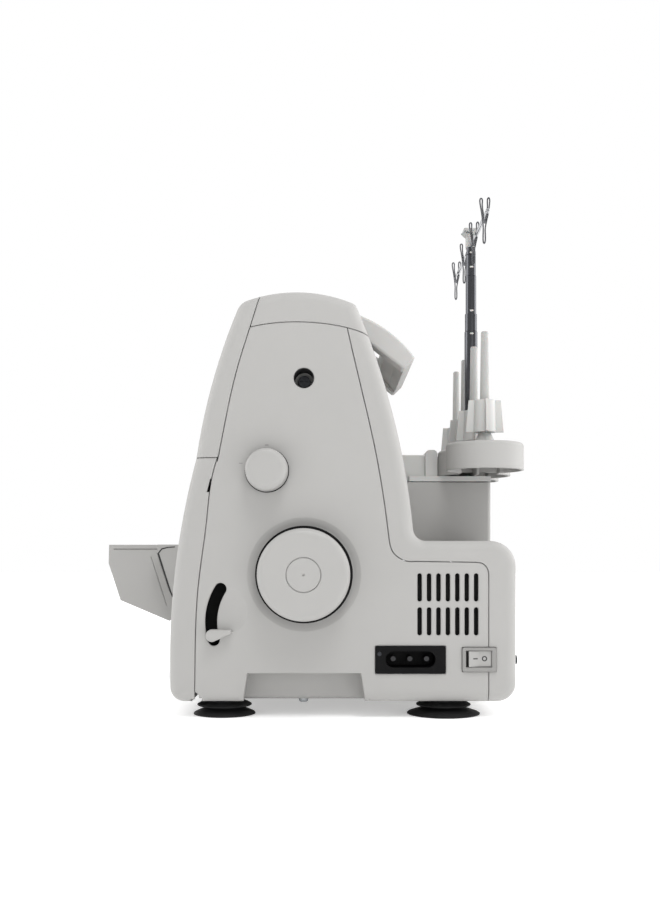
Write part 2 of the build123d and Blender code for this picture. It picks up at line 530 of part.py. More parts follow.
with BuildPart() as needle_bar:
    rod_z(163, 268, NEEDLE_X, NEEDLE_Y, 3.6)
    # Needle clamp and its two screws
    rod_z(160, 172, NEEDLE_X, NEEDLE_Y, 5.2)
    for x in (NEEDLE_X - 1.3, NEEDLE_X + 1.3):
        rod_y(NEEDLE_Y - 8, NEEDLE_Y, x, 165 + x - NEEDLE_X, 1.1)
        rod_z(159, 162.9, x, NEEDLE_Y, 1, Mode.SUBTRACT)
    block(NEEDLE_X - 5, NEEDLE_X + 5, NEEDLE_Y - 5, NEEDLE_Y + 5, 230.5, 239.5)
    rod_x(NEEDLE_X, NEEDLE_X + 14, NEEDLE_Y, 235, 2.4)
save(needle_bar, "needle_bar")

LIFT_ANGLE = math.degrees(math.atan2(NEEDLE_STROKE / 2, ROCKER_ARM_Y - NEEDLE_Y))
with BuildPart() as needle_rocker:
    rod_x(-96, 90, ROCKER_ARM_Y, ROCKER_ARM_Z, 5)
    arm_plane = Plane(origin=(NEEDLE_X + 8, ROCKER_ARM_Y, ROCKER_ARM_Z), x_dir=(0, -math.cos(math.radians(
        LIFT_ANGLE)), math.sin(math.radians(LIFT_ANGLE))), z_dir=(1, 0, 0))
    with BuildSketch(arm_plane) as arm_face:
        with Locations((27, 0)):
            Rectangle(54, 11)
        with Locations((49.2, 0)):
            SlotOverall(9, 5.6, mode=Mode.SUBTRACT)
    extrude(arm_face.sketch, amount=5)
    rod_x(NEEDLE_X + 7, NEEDLE_X + 14, ROCKER_ARM_Y, ROCKER_ARM_Z, 9)
save(needle_rocker, "needle_rocker")

with BuildPart() as needles:
    for x, tip in ((NEEDLE_X - 1.3, 127.5), (NEEDLE_X + 1.3, 129.0)):
        rod_z(150, 162.9, x, NEEDLE_Y, 1)
        rod_z(tip + 3, 150, x, NEEDLE_Y, 0.45)
        cone_z(tip, tip + 3, x, NEEDLE_Y, 0.08, 0.45)
save(needles, "needles")

with BuildPart() as presser_bar:
    rod_z(140, 272, NEEDLE_X, PRESSER_Y, 4)
    block(NEEDLE_X - 26, NEEDLE_X, PRESSER_Y - 3, PRESSER_Y + 3, 212, 219)
save(presser_bar, "presser_bar")

with BuildPart() as presser_foot:
    block(NEEDLE_X - 11, NEEDLE_X + 9, -66, -8, BED_TOP + 0.9, BED_TOP + 4)
    fillet(presser_foot.edges().filter_by(Axis.Z), 3)
    fillet(presser_foot.faces().sort_by(Axis.Y)[0].edges().sort_by(Axis.Z)[0], 2)
    block(NEEDLE_X - 5, NEEDLE_X + 5, PRESSER_Y - 6, PRESSER_Y + 6, BED_TOP + 3, 152)
    block(NEEDLE_X - 3, NEEDLE_X + 3, NEEDLE_Y - 3, NEEDLE_Y + 3, 120, 132, Mode.SUBTRACT)
    block(NEEDLE_X - 1.2, NEEDLE_X + 1.2, -70, NEEDLE_Y, 120, 132, Mode.SUBTRACT)
    rod_z(140, 155, NEEDLE_X, PRESSER_Y, 4, Mode.SUBTRACT)
    rod_x(NEEDLE_X + 5, NEEDLE_X + 10, PRESSER_Y, 146, 3.6)
save(presser_foot, "presser_foot")

with BuildPart() as lifter_lever:
    rod_x(-115, -101, LIFTER_Y, LIFTER_Z, 6)
    prism_x(-110, -106, [(36, 206), (44, 206), (52, 176), (66, 160), (62, 154), (44, 172)])
    rod_x(-113, -103, 64, 157.5, 5)
    rod_x(-120, -96, LIFTER_Y, LIFTER_Z, 3 + RUNNING_GAP, Mode.SUBTRACT)
save(lifter_lever, "lifter_lever")

with BuildPart() as feed_dogs:
    for x in (NEEDLE_X - 9, NEEDLE_X + 4.6, NEEDLE_X - 5.4):
        block(x + 0.2, x + 3.2, NEEDLE_Y + 8, NEEDLE_Y + 23, 106, BED_TOP + 0.1)
        for k in range(10):
            y = NEEDLE_Y + 8 + 1.5 * k
            prism_x(x + 0.2, x + 3.2, [(y, BED_TOP), (y + 1.5, BED_TOP), (y + 0.4, BED_TOP + 0.6)])
    block(NEEDLE_X - 9, NEEDLE_X + 8, NEEDLE_Y + 8, NEEDLE_Y + 19, 100, 108)
save(feed_dogs, "feed_dogs")

LOWER_LOOPER_X, LOWER_LOOPER_Z = -52.0, 78.0
with BuildPart() as lower_looper:
    rod_y(-50, -22, LOWER_LOOPER_X, LOWER_LOOPER_Z, 4)
    with BuildSketch(Plane.XZ.offset(44.5)) as lower_hook:
        with BuildLine():
            Polyline((-55, 78), (-49, 78), (-49, 106), (-56, 113), (-88, 112.4), (-90, 110.8), (-60, 108), (-55, 102),
                     close=True)
        make_face()
    extrude(lower_hook.sketch, amount=2)
save(lower_looper, "lower_looper")

UPPER_LOOPER_X, UPPER_LOOPER_Z = -96.0, 84.0
with BuildPart() as upper_looper:
    rod_y(-56, -22, UPPER_LOOPER_X, UPPER_LOOPER_Z, 4)
    with BuildSketch(Plane.XZ.offset(52)) as upper_hook:
        with BuildLine():
            Polyline((-99, 84), (-93, 84), (-91, 100), (-82, 110), (-68, 116), (-67, 118), (-84, 114), (-96, 102),
                     close=True)
        make_face()
    extrude(upper_hook.sketch, amount=2)
save(upper_looper, "upper_looper")

with BuildPart() as upper_knife:
    block(-58, -56.4, -58, -44, 118, 146)
    block(-56.4, -51, -56, -46, 118, 142)
    rod_y(-60, -56, -53.7, 132, 2.4)
    block(-56.4, -51, -54, -48, 92, 118)
save(upper_knife, "upper_knife")

with BuildPart() as lower_knife:
    block(-60.5, -58.4, -60, -42, 115, BED_TOP)
    block(-63.4, -60.5, -60, -52, 115, 119)
save(lower_knife, "lower_knife")

# ---------------------------------------------------------------- controls

with BuildPart() as stitch_length_dial:
    rod_x(RIGHT + 0.4, RIGHT + 15, DIAL_Y, DIAL_Z, DIAL_R)
    fillet(stitch_length_dial.faces().sort_by(Axis.X)[-1].edges(), 2)
    rod_x(140, RIGHT + 0.4, DIAL_Y, DIAL_Z, 4)
    block(RIGHT + 14, RIGHT + 16, DIAL_Y - 0.6, DIAL_Y + 0.6, DIAL_Z + 5, DIAL_Z + 13, Mode.SUBTRACT)
    rod_x(140, 142, DIAL_Y, DIAL_Z, 7)
save(stitch_length_dial, "stitch_length_dial")

LEVER_Y = SLOT_Y - SLOT_R * math.cos(math.radians(13))
LEVER_Z = SLOT_Z - SLOT_R * math.sin(math.radians(13))
with BuildPart() as feed_lever:
    rod_x(148, 153, SLOT_Y, SLOT_Z, 7)
    with BuildSketch(Plane.YZ.offset(149)) as lever_arm:
        with BuildLine():
            Polyline((SLOT_Y + 1, SLOT_Z + 4), (SLOT_Y + 1, SLOT_Z - 4), (LEVER_Y, LEVER_Z - 3), (LEVER_Y, LEVER_Z + 3),
                     close=True)
        make_face()
    extrude(lever_arm.sketch, amount=3)
    rod_x(149, RIGHT + 1, LEVER_Y, LEVER_Z, 3.4)
    with BuildSketch(Plane.YZ.offset(RIGHT + 0.4)) as knob:
        with Locations((LEVER_Y, LEVER_Z)):
            Circle(4.4)
        with BuildLine():
            Polyline((LEVER_Y, LEVER_Z + 4.4), (LEVER_Y - 0.6, LEVER_Z - 4.3), (LEVER_Y + 13, LEVER_Z + 2.2),
                     (LEVER_Y + 13, LEVER_Z + 4.4), close=True)
        make_face()
    extrude(knob.sketch, amount=6.5)
    fillet(feed_lever.faces().sort_by(Axis.X)[-1].edges(), 0.9)
    rod_x(140, 160, SLOT_Y, SLOT_Z, 3 + RUNNING_GAP, Mode.SUBTRACT)
save(feed_lever, "feed_lever")

for number, x in enumerate(DIAL_XS, 1):
    with BuildPart() as tension_dial:
        rod_x(x - 4, x + 4, WHEEL_DIAL_Y, WHEEL_DIAL_Z, WHEEL_DIAL_R)
        for k in range(36):
            angle = 2 * math.pi * k / 36
            rod_x(x - 5, x + 5, WHEEL_DIAL_Y + (WHEEL_DIAL_R + 0.3) * math.cos(angle),
                  WHEEL_DIAL_Z + (WHEEL_DIAL_R + 0.3) * math.sin(angle), 0.8, Mode.SUBTRACT)
        rod_x(x - 5, x + 5, WHEEL_DIAL_Y, WHEEL_DIAL_Z, 3 + RUNNING_GAP, Mode.SUBTRACT)
    save(tension_dial, f"tension_dial_{number}")

with BuildPart() as tension_discs:
    for x in DIAL_XS:
        for side in (9.2, 11.8):
            rod_x(x + side, x + side + 1, WHEEL_DIAL_Y, WHEEL_DIAL_Z, 11)
    # The spindle that the discs and the dials sit on
    rod_x(8, 134, WHEEL_DIAL_Y, WHEEL_DIAL_Z, 3)
save(tension_discs, "tension_discs")

with BuildPart() as power_inlet:
    block(158, RIGHT + 1, INLET_Y0 + 0.2, INLET_Y1 - 0.2, INLET_Z0 + 0.2, INLET_Z1 - 0.2)
    fillet(power_inlet.edges().filter_by(Axis.X), 1.5)
    block(141, 158, 62, 101, 33, 49)
    with BuildSketch(Plane.YZ.offset(144)) as socket:
        with Locations(((PIN_YS[0] + PIN_YS[2]) / 2, 41.4)):
            SlotOverall(35, 11.4)
    extrude(socket.sketch, amount=30, mode=Mode.SUBTRACT)
save(power_inlet, "power_inlet")

with BuildPart() as inlet_pins:
    for y in PIN_YS:
        rod_x(144, 156, y, 41.4, 1.9)
save(inlet_pins, "inlet_pins")

ROCKER_Y = (ROCKER_Y0 + ROCKER_Y1) / 2
with BuildPart() as switch_bezel:
    block(146, RIGHT + 1.5, BEZEL_Y0 + 0.2, BEZEL_Y1 - 0.2, BEZEL_Z0 + 0.2, BEZEL_Z1 - 0.2)
    fillet(switch_bezel.edges().filter_by(Axis.X), 1)
    block(149, RIGHT + 2, ROCKER_Y0 - 0.4, ROCKER_Y1 + 0.4, ROCKER_Z0 - 0.2, ROCKER_Z1 + 0.2, Mode.SUBTRACT)
    rod_z(ROCKER_Z0 - 2, ROCKER_Z1 + 2, 156, ROCKER_Y, 1.2, Mode.SUBTRACT)
save(switch_bezel, "switch_bezel")

with BuildPart() as switch_rocker:
    rocker_plane = Plane(origin=(156, ROCKER_Y, ROCKER_Z0 + 0.2), x_dir=(math.cos(math.radians(ROCKER_TILT)),
                         math.sin(math.radians(ROCKER_TILT)), 0), z_dir=(0, 0, 1))
    with BuildSketch(rocker_plane) as rocker_face:
        with BuildLine():
            Polyline((-3, -4), (5.4, -8.1), (6.2, -8.1), (5, 0), (6.2, 8.1), (5.4, 8.1), (-3, 4), close=True)
        make_face()
    extrude(rocker_face.sketch, amount=ROCKER_Z1 - ROCKER_Z0 - 0.4)
    rod_z(ROCKER_Z0 - 1.8, ROCKER_Z1 + 1.8, 156, ROCKER_Y, 1.15)
save(switch_rocker, "switch_rocker")

# ---------------------------------------------------------------- handle and thread stand

HANDLE_X0, HANDLE_X1 = 2.0, 134.0
with BuildPart() as carry_handle:
    with BuildSketch(Plane.YZ.offset(HANDLE_X0)) as hoop:
        with BuildLine():
            ThreePointArc((44.8, 289.6), (68.6, 276.6), (87.2, 257.6))
            Line((87.2, 257.6), (78.8, 249.4))
            Line((78.8, 249.4), (54.4, 268.2))
            Line((54.4, 268.2), (44.8, 289.6))
        make_face()
        fillet(corner(hoop, 87.2, 257.6), 2.2)
        fillet(corner(hoop, 78.8, 249.4), 2.2)
    extrude(hoop.sketch, amount=HANDLE_X1 - HANDLE_X0)
    block(HANDLE_X0 + 16, HANDLE_X1 - 16, 40, 66, 240, 300, Mode.SUBTRACT)
    prism_x(HANDLE_X0 + 16, HANDLE_X1 - 16, [(60, 230), (60, 276), (66, 264), (74, 257), (80, 249), (80, 230)],
            Mode.SUBTRACT)
    fillet(carry_handle.faces().sort_by(Axis.X)[-1].edges().filter_by_position(Axis.Z, 250, 286)
           .filter_by_position(Axis.Y, 56, 87), 2)
    add(envelope(), mode=Mode.SUBTRACT)
save(carry_handle, "carry_handle")

with BuildPart() as spool_tower:
    block(TOWER_X0, TOWER_X1, 76, REAR_FACE, 110, 173.8)
    fillet(spool_tower.edges().filter_by(Axis.Z).sort_by(Axis.Y)[-2:], 3)
    add(envelope(), mode=Mode.SUBTRACT)
save(spool_tower, "spool_tower")

with BuildPart() as tower_cap:
    block(TOWER_X0 + 4, TOWER_X1 - 6, 70, 103.5, 174.4, 196.6)
    block(TOWER_X0, TOWER_X1, 90, REAR_FACE, 174.4, TRAY_Z0)
    fillet(tower_cap.faces().sort_by(Axis.Z)[-1].edges(), 1)
    add(envelope(), mode=Mode.SUBTRACT)
    # Rounded clamp block that grips the tray
    block(8, 36, 103.4, 113.2, TRAY_Z0 - 1, 200.4)
    fillet(tower_cap.edges().filter_by(Axis.X).sort_by(Axis.Z)[-2:], 3.5)
save(tower_cap, "tower_cap")

with BuildPart() as spool_tray:
    for x in SPOOL_XS:
        rod_z(TRAY_Z0, TRAY_Z1, x, TRAY_Y, DISC_R)
    block(SPOOL_XS[3], SPOOL_XS[0], TRAY_Y - 17, TRAY_Y + 17, TRAY_Z0, TRAY_Z1)
    fillet(spool_tray.faces().sort_by(Axis.Z)[-1].edges(), 2.5)
    for x in SPOOL_XS:
        rod_z(TRAY_Z0 - 1, TRAY_Z1 - 2.4, x, TRAY_Y, DISC_R - 2.2, Mode.SUBTRACT)
    block(SPOOL_XS[3], SPOOL_XS[0], TRAY_Y - 14.8, TRAY_Y + 14.8, TRAY_Z0 - 1, TRAY_Z1 - 2.4, Mode.SUBTRACT)
    rod_z(TRAY_Z0, TRAY_Z1, ROD_X, ROD_Y, 11)
    for x in SPOOL_XS:
        rod_z(TRAY_Z1 - 14, TRAY_Z1, x, TRAY_Y, 6)
        block(x - 1, x + 1, TRAY_Y - DISC_R + 1, TRAY_Y + DISC_R - 1, TRAY_Z0 + 3, TRAY_Z1 - 1)
    block(-50, 58, TRAY_Y - 1, TRAY_Y + 1, TRAY_Z0, TRAY_Z1 - 1)
    rod_z(TRAY_Z0 - 1, TRAY_Z1 + 1, ROD_X, ROD_Y, 5.5, Mode.SUBTRACT)
    for x in SPOOL_XS:
        rod_z(TRAY_Z1 - 12, TRAY_Z1 + 1, x, TRAY_Y, 3, Mode.SUBTRACT)
save(spool_tray, "spool_tray")

with BuildPart() as spool_pins:
    for x in SPOOL_XS:
        rod_z(TRAY_Z1 - 12, TRAY_Z1, x, TRAY_Y, 3)
        cone_z(TRAY_Z1, TRAY_Z1 + 8.2, x, TRAY_Y, 8.6, 4.6)
        cone_z(TRAY_Z1 + 8.2, 284, x, TRAY_Y, 3.95, 2.8)
        with Locations((x, TRAY_Y, 284)):
            Cylinder(2.4, 1.6)
save(spool_pins, "spool_pins")

for number, x in enumerate(SPOOL_XS, 1):
    with BuildPart() as cone_holder:
        cone_z(TRAY_Z1 + 8.6, TRAY_Z1 + 33, x, TRAY_Y, 8.6, 8)
        for k in range(2):
            with BuildSketch(Plane(origin=(x, TRAY_Y, 0), x_dir=(1 - k, k, 0), z_dir=(k, k - 1, 0))) as fin:
                with BuildLine():
                    Polyline((-14.4, TRAY_Z1 + 8.6), (14.4, TRAY_Z1 + 8.6), (12.2, TRAY_Z1 + 33),
                             (-12.2, TRAY_Z1 + 33), close=True)
                make_face()
            extrude(fin.sketch, amount=0.9, both=True)
        rod_z(TRAY_Z1 + 8, TRAY_Z1 + 34, x, TRAY_Y, 4.25, Mode.SUBTRACT)
    save(cone_holder, f"cone_holder_{number}")


def tube(name, z0, z1, radius, bore, extra=()):
    """A telescopic section with its bore, and any collars as (z0, z1, radius)."""
    with BuildPart() as section:
        rod_z(z0, z1, ROD_X, ROD_Y, radius)
        for low, high, collar_r in extra:
            rod_z(low, high, ROD_X, ROD_Y, collar_r)
        if bore:
            rod_z(z0 - 1, z1 + 1, ROD_X, ROD_Y, bore, Mode.SUBTRACT)
    save(section, name)


tube("guide_tube_outer", TRAY_Z0, 303, 5.5, 4.5 + RUNNING_GAP)
tube("guide_tube_middle", 196, 350, 4.5, 3.6 + RUNNING_GAP, [(303.4, 318, 5.1)])
tube("guide_tube_inner", 200, 378, 3.6, 0, [(350.4, 368, 4.15)])

with BuildPart() as guide_head:
    rod_z(374.2, 388, ROD_X, ROD_Y, 5.2)
    block(ROD_X - 7, ROD_X + 7, ROD_Y - 4.6, ROD_Y + 4.6, 374.2, 386)
    block(ROD_X - 8, ROD_X + 8, ROD_Y - 8, ROD_Y + 8, 386, 389.6)
    fillet(guide_head.edges().filter_by(Axis.Z), 1.5)
    rod_x(-92, 100, ROD_Y, 375.8, 1.3)
    rod_z(370, 378.02, ROD_X, ROD_Y, 3.6, Mode.SUBTRACT)
save(guide_head, "guide_head")


def wire(points, radius):
    """A bent wire: straight runs with a ball at each bend."""
    for (y0, z0, x0), (y1, z1, x1) in zip(points, points[1:]):
        run = Vector(x1 - x0, y1 - y0, z1 - z0)
        rod(tuple(run), (x0, y0, z0), run.length, radius)
    for y, z, x in points:
        with Locations((x, y, z)):
            Sphere(radius)


with BuildPart() as wire_guides:
    for x in SPOOL_XS:
        wire([(ROD_Y - 2.6, 384, x + 3), (ROD_Y - 1.4, 366, x + 1), (ROD_Y, 351, x), (ROD_Y + 1.4, 366, x - 1),
              (ROD_Y + 2.6, 385, x - 3)], 0.65)
        for side in (-1, 1):
            loop_plane = Plane(origin=(x - 3 * side - 0.6, ROD_Y + 2.6 * side, 386), z_dir=(1, 0, 0))
            with BuildSketch(loop_plane) as eye:
                Ellipse(1.5, 2.9)
                Ellipse(0.5, 1.8, mode=Mode.SUBTRACT)
            extrude(eye.sketch, amount=1.2)
    rod_x(-120, 120, ROD_Y, 375, 1.6, Mode.SUBTRACT)
save(wire_guides, "wire_guides")

with BuildPart() as rubber_feet:
    for x, y in FEET:
        cone_z(0, 3, x, y, 22.4, 20.5)
        rod_z(3, 6.5, x, y, 13)
        cone_z(6.2, 9, x, y, 19.8, 18.6)
        rod_z(9, UNDERSIDE, x, y, 13)
save(rubber_feet, "rubber_feet")

with BuildPart() as case_screws:
    rod_x(141, 144.5, PORT_Y, PORT_Z, 4.2)
    rod_x(139.1, 141, PORT_Y, PORT_Z, 2)
    block(143.4, 145, PORT_Y - 3.2, PORT_Y + 3.2, PORT_Z - 0.5, PORT_Z + 0.5, Mode.SUBTRACT)
    block(143.4, 145, PORT_Y - 0.5, PORT_Y + 0.5, PORT_Z - 3.2, PORT_Z + 3.2, Mode.SUBTRACT)
    for x, y in ((120.0, 6.4), (20.0, -30.0), (20.0, 100.0), (-60.0, 60.0)):
        rod_z(UNDERSIDE - 2.2, UNDERSIDE, x, y, 3.4)
    rod_x(RIGHT + 1, RIGHT + 1.8, 59.6, 45.3, 1.5)
    for x, z in ((-8.0, 100.0), (148.0, 40.0), (-8.0, 40.0)):
        rod_y(REAR_FACE, REAR_FACE + 1.6, x, z, 3.2)
save(case_screws, "case_screws")

with BuildPart() as work_lamp:
    block(-61.6, -44.4, -33.6, -16.4, 189, 194)
    fillet(work_lamp.faces().sort_by(Axis.Z)[0].edges(), 2)
save(work_lamp, "work_lamp")
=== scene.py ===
"""Looks of a serger overlock machine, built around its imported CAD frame.

Lengths are metres in the row frame unless a name ends in _mm. X runs to the machine's right, Y to its
back and Z up. The camera looks square at the right side.
"""

from __future__ import annotations

import json
import logging
import math
from collections.abc import Iterable, Sequence
from dataclasses import dataclass, field
from enum import Enum

import bmesh
import bpy
from mathutils import Matrix, Vector

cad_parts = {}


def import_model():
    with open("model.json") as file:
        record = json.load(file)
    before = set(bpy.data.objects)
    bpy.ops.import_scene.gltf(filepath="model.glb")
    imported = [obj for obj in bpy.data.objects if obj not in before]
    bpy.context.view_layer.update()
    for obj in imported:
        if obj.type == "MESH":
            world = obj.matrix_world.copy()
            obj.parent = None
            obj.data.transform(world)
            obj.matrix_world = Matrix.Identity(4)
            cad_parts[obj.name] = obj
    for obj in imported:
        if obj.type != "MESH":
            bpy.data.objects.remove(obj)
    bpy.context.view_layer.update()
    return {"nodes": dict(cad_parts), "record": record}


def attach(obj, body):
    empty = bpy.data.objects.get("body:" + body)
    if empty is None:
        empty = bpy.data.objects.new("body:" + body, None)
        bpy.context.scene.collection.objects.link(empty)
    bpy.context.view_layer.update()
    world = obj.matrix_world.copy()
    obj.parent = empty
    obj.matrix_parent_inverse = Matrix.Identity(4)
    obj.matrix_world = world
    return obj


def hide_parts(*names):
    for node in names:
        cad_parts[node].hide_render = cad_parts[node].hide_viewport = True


log = logging.getLogger("serger")

MM = 0.001
Point = tuple[float, float, float]


def linear(hex_colour: str) -> tuple[float, float, float, float]:
    """Turn an sRGB hex colour to linear RGBA.

    Args:
        hex_colour: Six hex digits, with or without a leading mark.

    Returns:
        Linear red, green and blue, and an alpha of 1.
    """
    digits = hex_colour.lstrip("#")
    channels = []
    for start in (0, 2, 4):
        value = int(digits[start : start + 2], 16) / 255
        channels.append(value / 12.92 if value <= 0.04045 else ((value + 0.055) / 1.055) ** 2.4)
    return (channels[0], channels[1], channels[2], 1.0)


def add_node(
    tree: bpy.types.NodeTree,
    kind: str,
    settings: dict | None = None,
    values: dict | None = None,
    links: dict | None = None,
) -> bpy.types.Node:
    """Add a shader node with its settings, input values and incoming links.

    Args:
        tree: The node tree.
        kind: The node's type name.
        settings: Attributes of the node.
        values: Input values, by the input's name or index.
        links: Output sockets that feed inputs, by the input's name or index.

    Returns:
        The new node.
    """
    node = tree.nodes.new(kind)
    for name, value in (settings or {}).items():
        setattr(node, name, value)
    for name, value in (values or {}).items():
        node.inputs[name].default_value = value
    for name, socket in (links or {}).items():
        tree.links.new(socket, node.inputs[name])
    return node


# ---------------------------------------------------------------- finishes


class Surface(Enum):
    """How a surface was made, which sets the pattern of its relief."""

    MOULD_GRAIN = "spark-eroded mould grain"
    GLOSS = "polished mould"
    BRUSHED = "brushed along its length"
    TURNED = "turned on a lathe"
    CAST = "die-cast skin"
    RUBBER = "moulded rubber"


@dataclass(frozen=True)
class Finish:
    """One procedural finish.

    Attributes:
        name: The material's name.
        colour: Base colour, sRGB hex.
        shade: Colour that the base drifts to in broad soft patches, sRGB hex.
        roughness: Middle roughness.
        drift: How far roughness goes either side of the middle.
        surface: How it was made.
        grain_mm: Size of one grain, scratch or pore.
        depth_mm: Height of the relief.
        edge_mm: Radius that the light sees on the piece's edges.
        metallic: 1 for bare metal.
        coat: Weight of a clear skin.
        glow: Weight of light scattered inside the plastic.
        passes: Share of light that goes through.
        mirror: Strength of the surface's own reflection; 0.5 is a plain plastic's.
    """

    name: str
    colour: str
    shade: str
    roughness: float
    drift: float
    surface: Surface
    grain_mm: float
    depth_mm: float
    edge_mm: float = 0.5
    metallic: float = 0.0
    coat: float = 0.0
    glow: float = 0.0
    passes: float = 0.0
    mirror: float = 0.5

    def material(self) -> bpy.types.Material:
        """Make the material once, and return it."""
        made = bpy.data.materials.get(self.name)
        if made:
            return made
        made = bpy.data.materials.new(self.name)
        made.use_nodes = True
        tree = made.node_tree
        tree.nodes.clear()
        place = add_node(tree, "ShaderNodeTexCoord").outputs["Object"]
        patches = add_node(
            tree, "ShaderNodeTexNoise", values={"Scale": 11.0, "Detail": 3.0, "Roughness": 0.6}, links={"Vector": place}
        )
        tint = add_node(
            tree,
            "ShaderNodeMix",
            {"data_type": "RGBA"},
            {"A": linear(self.colour), "B": linear(self.shade)},
            {"Factor": patches.outputs["Fac"]},
        )
        smears = add_node(tree, "ShaderNodeTexNoise", values={"Scale": 45.0, "Detail": 4.0}, links={"Vector": place})
        gloss = add_node(
            tree,
            "ShaderNodeMapRange",
            values={
                "From Min": 0.3,
                "From Max": 0.7,
                "To Min": self.roughness - self.drift,
                "To Max": self.roughness + self.drift,
            },
            links={"Value": smears.outputs["Fac"]},
        )
        shader = add_node(
            tree,
            "ShaderNodeBsdfPrincipled",
            values={
                "Metallic": self.metallic,
                "Coat Weight": self.coat,
                "Coat Roughness": 0.15,
                "Subsurface Weight": self.glow,
                "Subsurface Scale": 0.003,
                "Transmission Weight": self.passes,
                "Specular IOR Level": self.mirror,
            },
            links={"Base Color": tint.outputs["Result"], "Roughness": gloss.outputs["Result"]},
        )
        tree.links.new(self._relief(tree, place), shader.inputs["Normal"])
        add_node(tree, "ShaderNodeOutputMaterial", links={"Surface": shader.outputs["BSDF"]})
        return made

    def _relief(self, tree: bpy.types.NodeTree, place: bpy.types.NodeSocket) -> bpy.types.NodeSocket:
        """Wire the relief that the way of making left, over softened edges.

        Args:
            tree: The material's node tree.
            place: The Object coordinates.

        Returns:
            The normal that the shader takes.
        """
        scale = 1.0 / (self.grain_mm * MM)
        if self.surface is Surface.BRUSHED:
            place = add_node(
                tree, "ShaderNodeMapping", values={"Scale": (1.0, 1.0, 0.03)}, links={"Vector": place}
            ).outputs["Vector"]
        if self.surface is Surface.TURNED:
            place = add_node(
                tree, "ShaderNodeMapping", values={"Scale": (1.0, 0.05, 0.05)}, links={"Vector": place}
            ).outputs["Vector"]
        if self.surface in (Surface.CAST, Surface.RUBBER):
            height = add_node(
                tree, "ShaderNodeTexVoronoi", {"feature": "SMOOTH_F1"}, {"Scale": scale}, {"Vector": place}
            ).outputs["Distance"]
        else:
            height = add_node(
                tree, "ShaderNodeTexNoise", values={"Scale": scale, "Detail": 2.0}, links={"Vector": place}
            ).outputs["Fac"]
        soft_edge = add_node(tree, "ShaderNodeBevel", {"samples": 6}, {"Radius": self.edge_mm * MM})
        return add_node(
            tree,
            "ShaderNodeBump",
            values={"Strength": 1.0, "Distance": self.depth_mm * MM},
            links={"Height": height, "Normal": soft_edge.outputs["Normal"]},
        ).outputs["Normal"]


# Injection-moulded ABS with a spark-eroded grain: matt, warm light grey, and the grain breaks up highlights.
# The grain is drawn at 0.9 mm, coarser than the real 0.2 mm, so that it shows at all.
BODY_ABS = Finish("moulded_abs_grain", "#A9A8A6", "#A3A2A0", 0.58, 0.06, Surface.MOULD_GRAIN, 0.9, 0.006, 1.4, mirror=0.3)
# The same ABS from a finer mould, on parts behind covers, a shade darker than the casing as painted shade.
SHADED_INNER_ABS = Finish("moulded_abs_inner_painted_shade", "#9C9B99", "#959492", 0.58, 0.06, Surface.MOULD_GRAIN, 0.9, 0.006, 0.8, mirror=0.3)
# Polished ABS of the parts that fingers turn: a paler, slightly glossier white.
CONTROL_ABS = Finish("polished_abs_controls", "#A8A7A5", "#A2A19F", 0.44, 0.06, Surface.GLOSS, 1.4, 0.003, 0.9, mirror=0.35)
# Acetal dials: denser and whiter, with a soft wax-like sheen.
DIAL_ACETAL = Finish("acetal_dials", "#C9C8C4", "#C1C0BC", 0.36, 0.05, Surface.GLOSS, 1.2, 0.003, 0.5, glow=0.1)
# Polypropylene of the thread stand: milky, so light goes a little way in and edges glow.
STAND_PP = Finish("milky_polypropylene", "#ABABA9", "#A4A4A2", 0.42, 0.06, Surface.GLOSS, 1.2, 0.003, 0.6, glow=0.12, mirror=0.35)
# Blackened chrome of the telescopic tube: dark, with a bright line along its length.
TUBE_CHROME = Finish(
    "black_chrome_tube", "#57585B", "#4B4C50", 0.2, 0.05, Surface.BRUSHED, 0.5, 0.002, 0.2, metallic=1.0
)
# Ground and polished steel of moving sewing parts.
BRIGHT_STEEL = Finish("polished_steel", "#B9BABC", "#A9AAAD", 0.2, 0.06, Surface.BRUSHED, 0.4, 0.002, 0.2, metallic=1.0)
# Chromed plate, brushed across its top, so highlights smear.
PLATE_STEEL = Finish("brushed_chrome_plate", "#B4B5B6", "#A5A6A8", 0.28, 0.06, Surface.BRUSHED, 0.35, 0.004, 0.4, metallic=1.0)
# Die-cast aluminium of the main frame: grey and satin with a fine orange peel.
CAST_ALLOY = Finish("die_cast_aluminium", "#8E9093", "#7F8184", 0.46, 0.08, Surface.CAST, 1.5, 0.02, 0.8, metallic=1.0)
# Drawn brass: warm, with lengthwise draw lines.
BRASS = Finish("turned_brass", "#B99A5A", "#A88A4C", 0.27, 0.06, Surface.TURNED, 0.5, 0.003, 0.2, metallic=1.0)
# Glass-filled nylon: black and dull, with a faint fibre mottle.
BLACK_NYLON = Finish("black_glass_filled_nylon", "#040405", "#080809", 0.5, 0.08, Surface.MOULD_GRAIN, 0.8, 0.008, 0.5, mirror=0.12)
# Neoprene belt: matt charcoal.
BELT_RUBBER = Finish("neoprene_belt", "#222223", "#2A2A2B", 0.7, 0.06, Surface.RUBBER, 0.8, 0.02, 0.3)
# Natural rubber feet: black, matt, with a dusty bloom in the patches.
FOOT_RUBBER = Finish("moulded_foot_rubber", "#0D0D0E", "#1B1B1C", 0.68, 0.08, Surface.RUBBER, 0.9, 0.02, 0.8, mirror=0.25)
# Zinc-plated sheet steel of the motor can.
ZINC_STEEL = Finish("zinc_plated_steel", "#8F9396", "#A0A3A5", 0.36, 0.1, Surface.CAST, 3.0, 0.006, 0.5, metallic=1.0)
# Frosted polycarbonate of the work lamp's lens.
LAMP_PC = Finish("frosted_polycarbonate", "#E8ECEE", "#DCE1E4", 0.4, 0.05, Surface.GLOSS, 1.0, 0.004, 0.4, glow=0.2, passes=0.35)
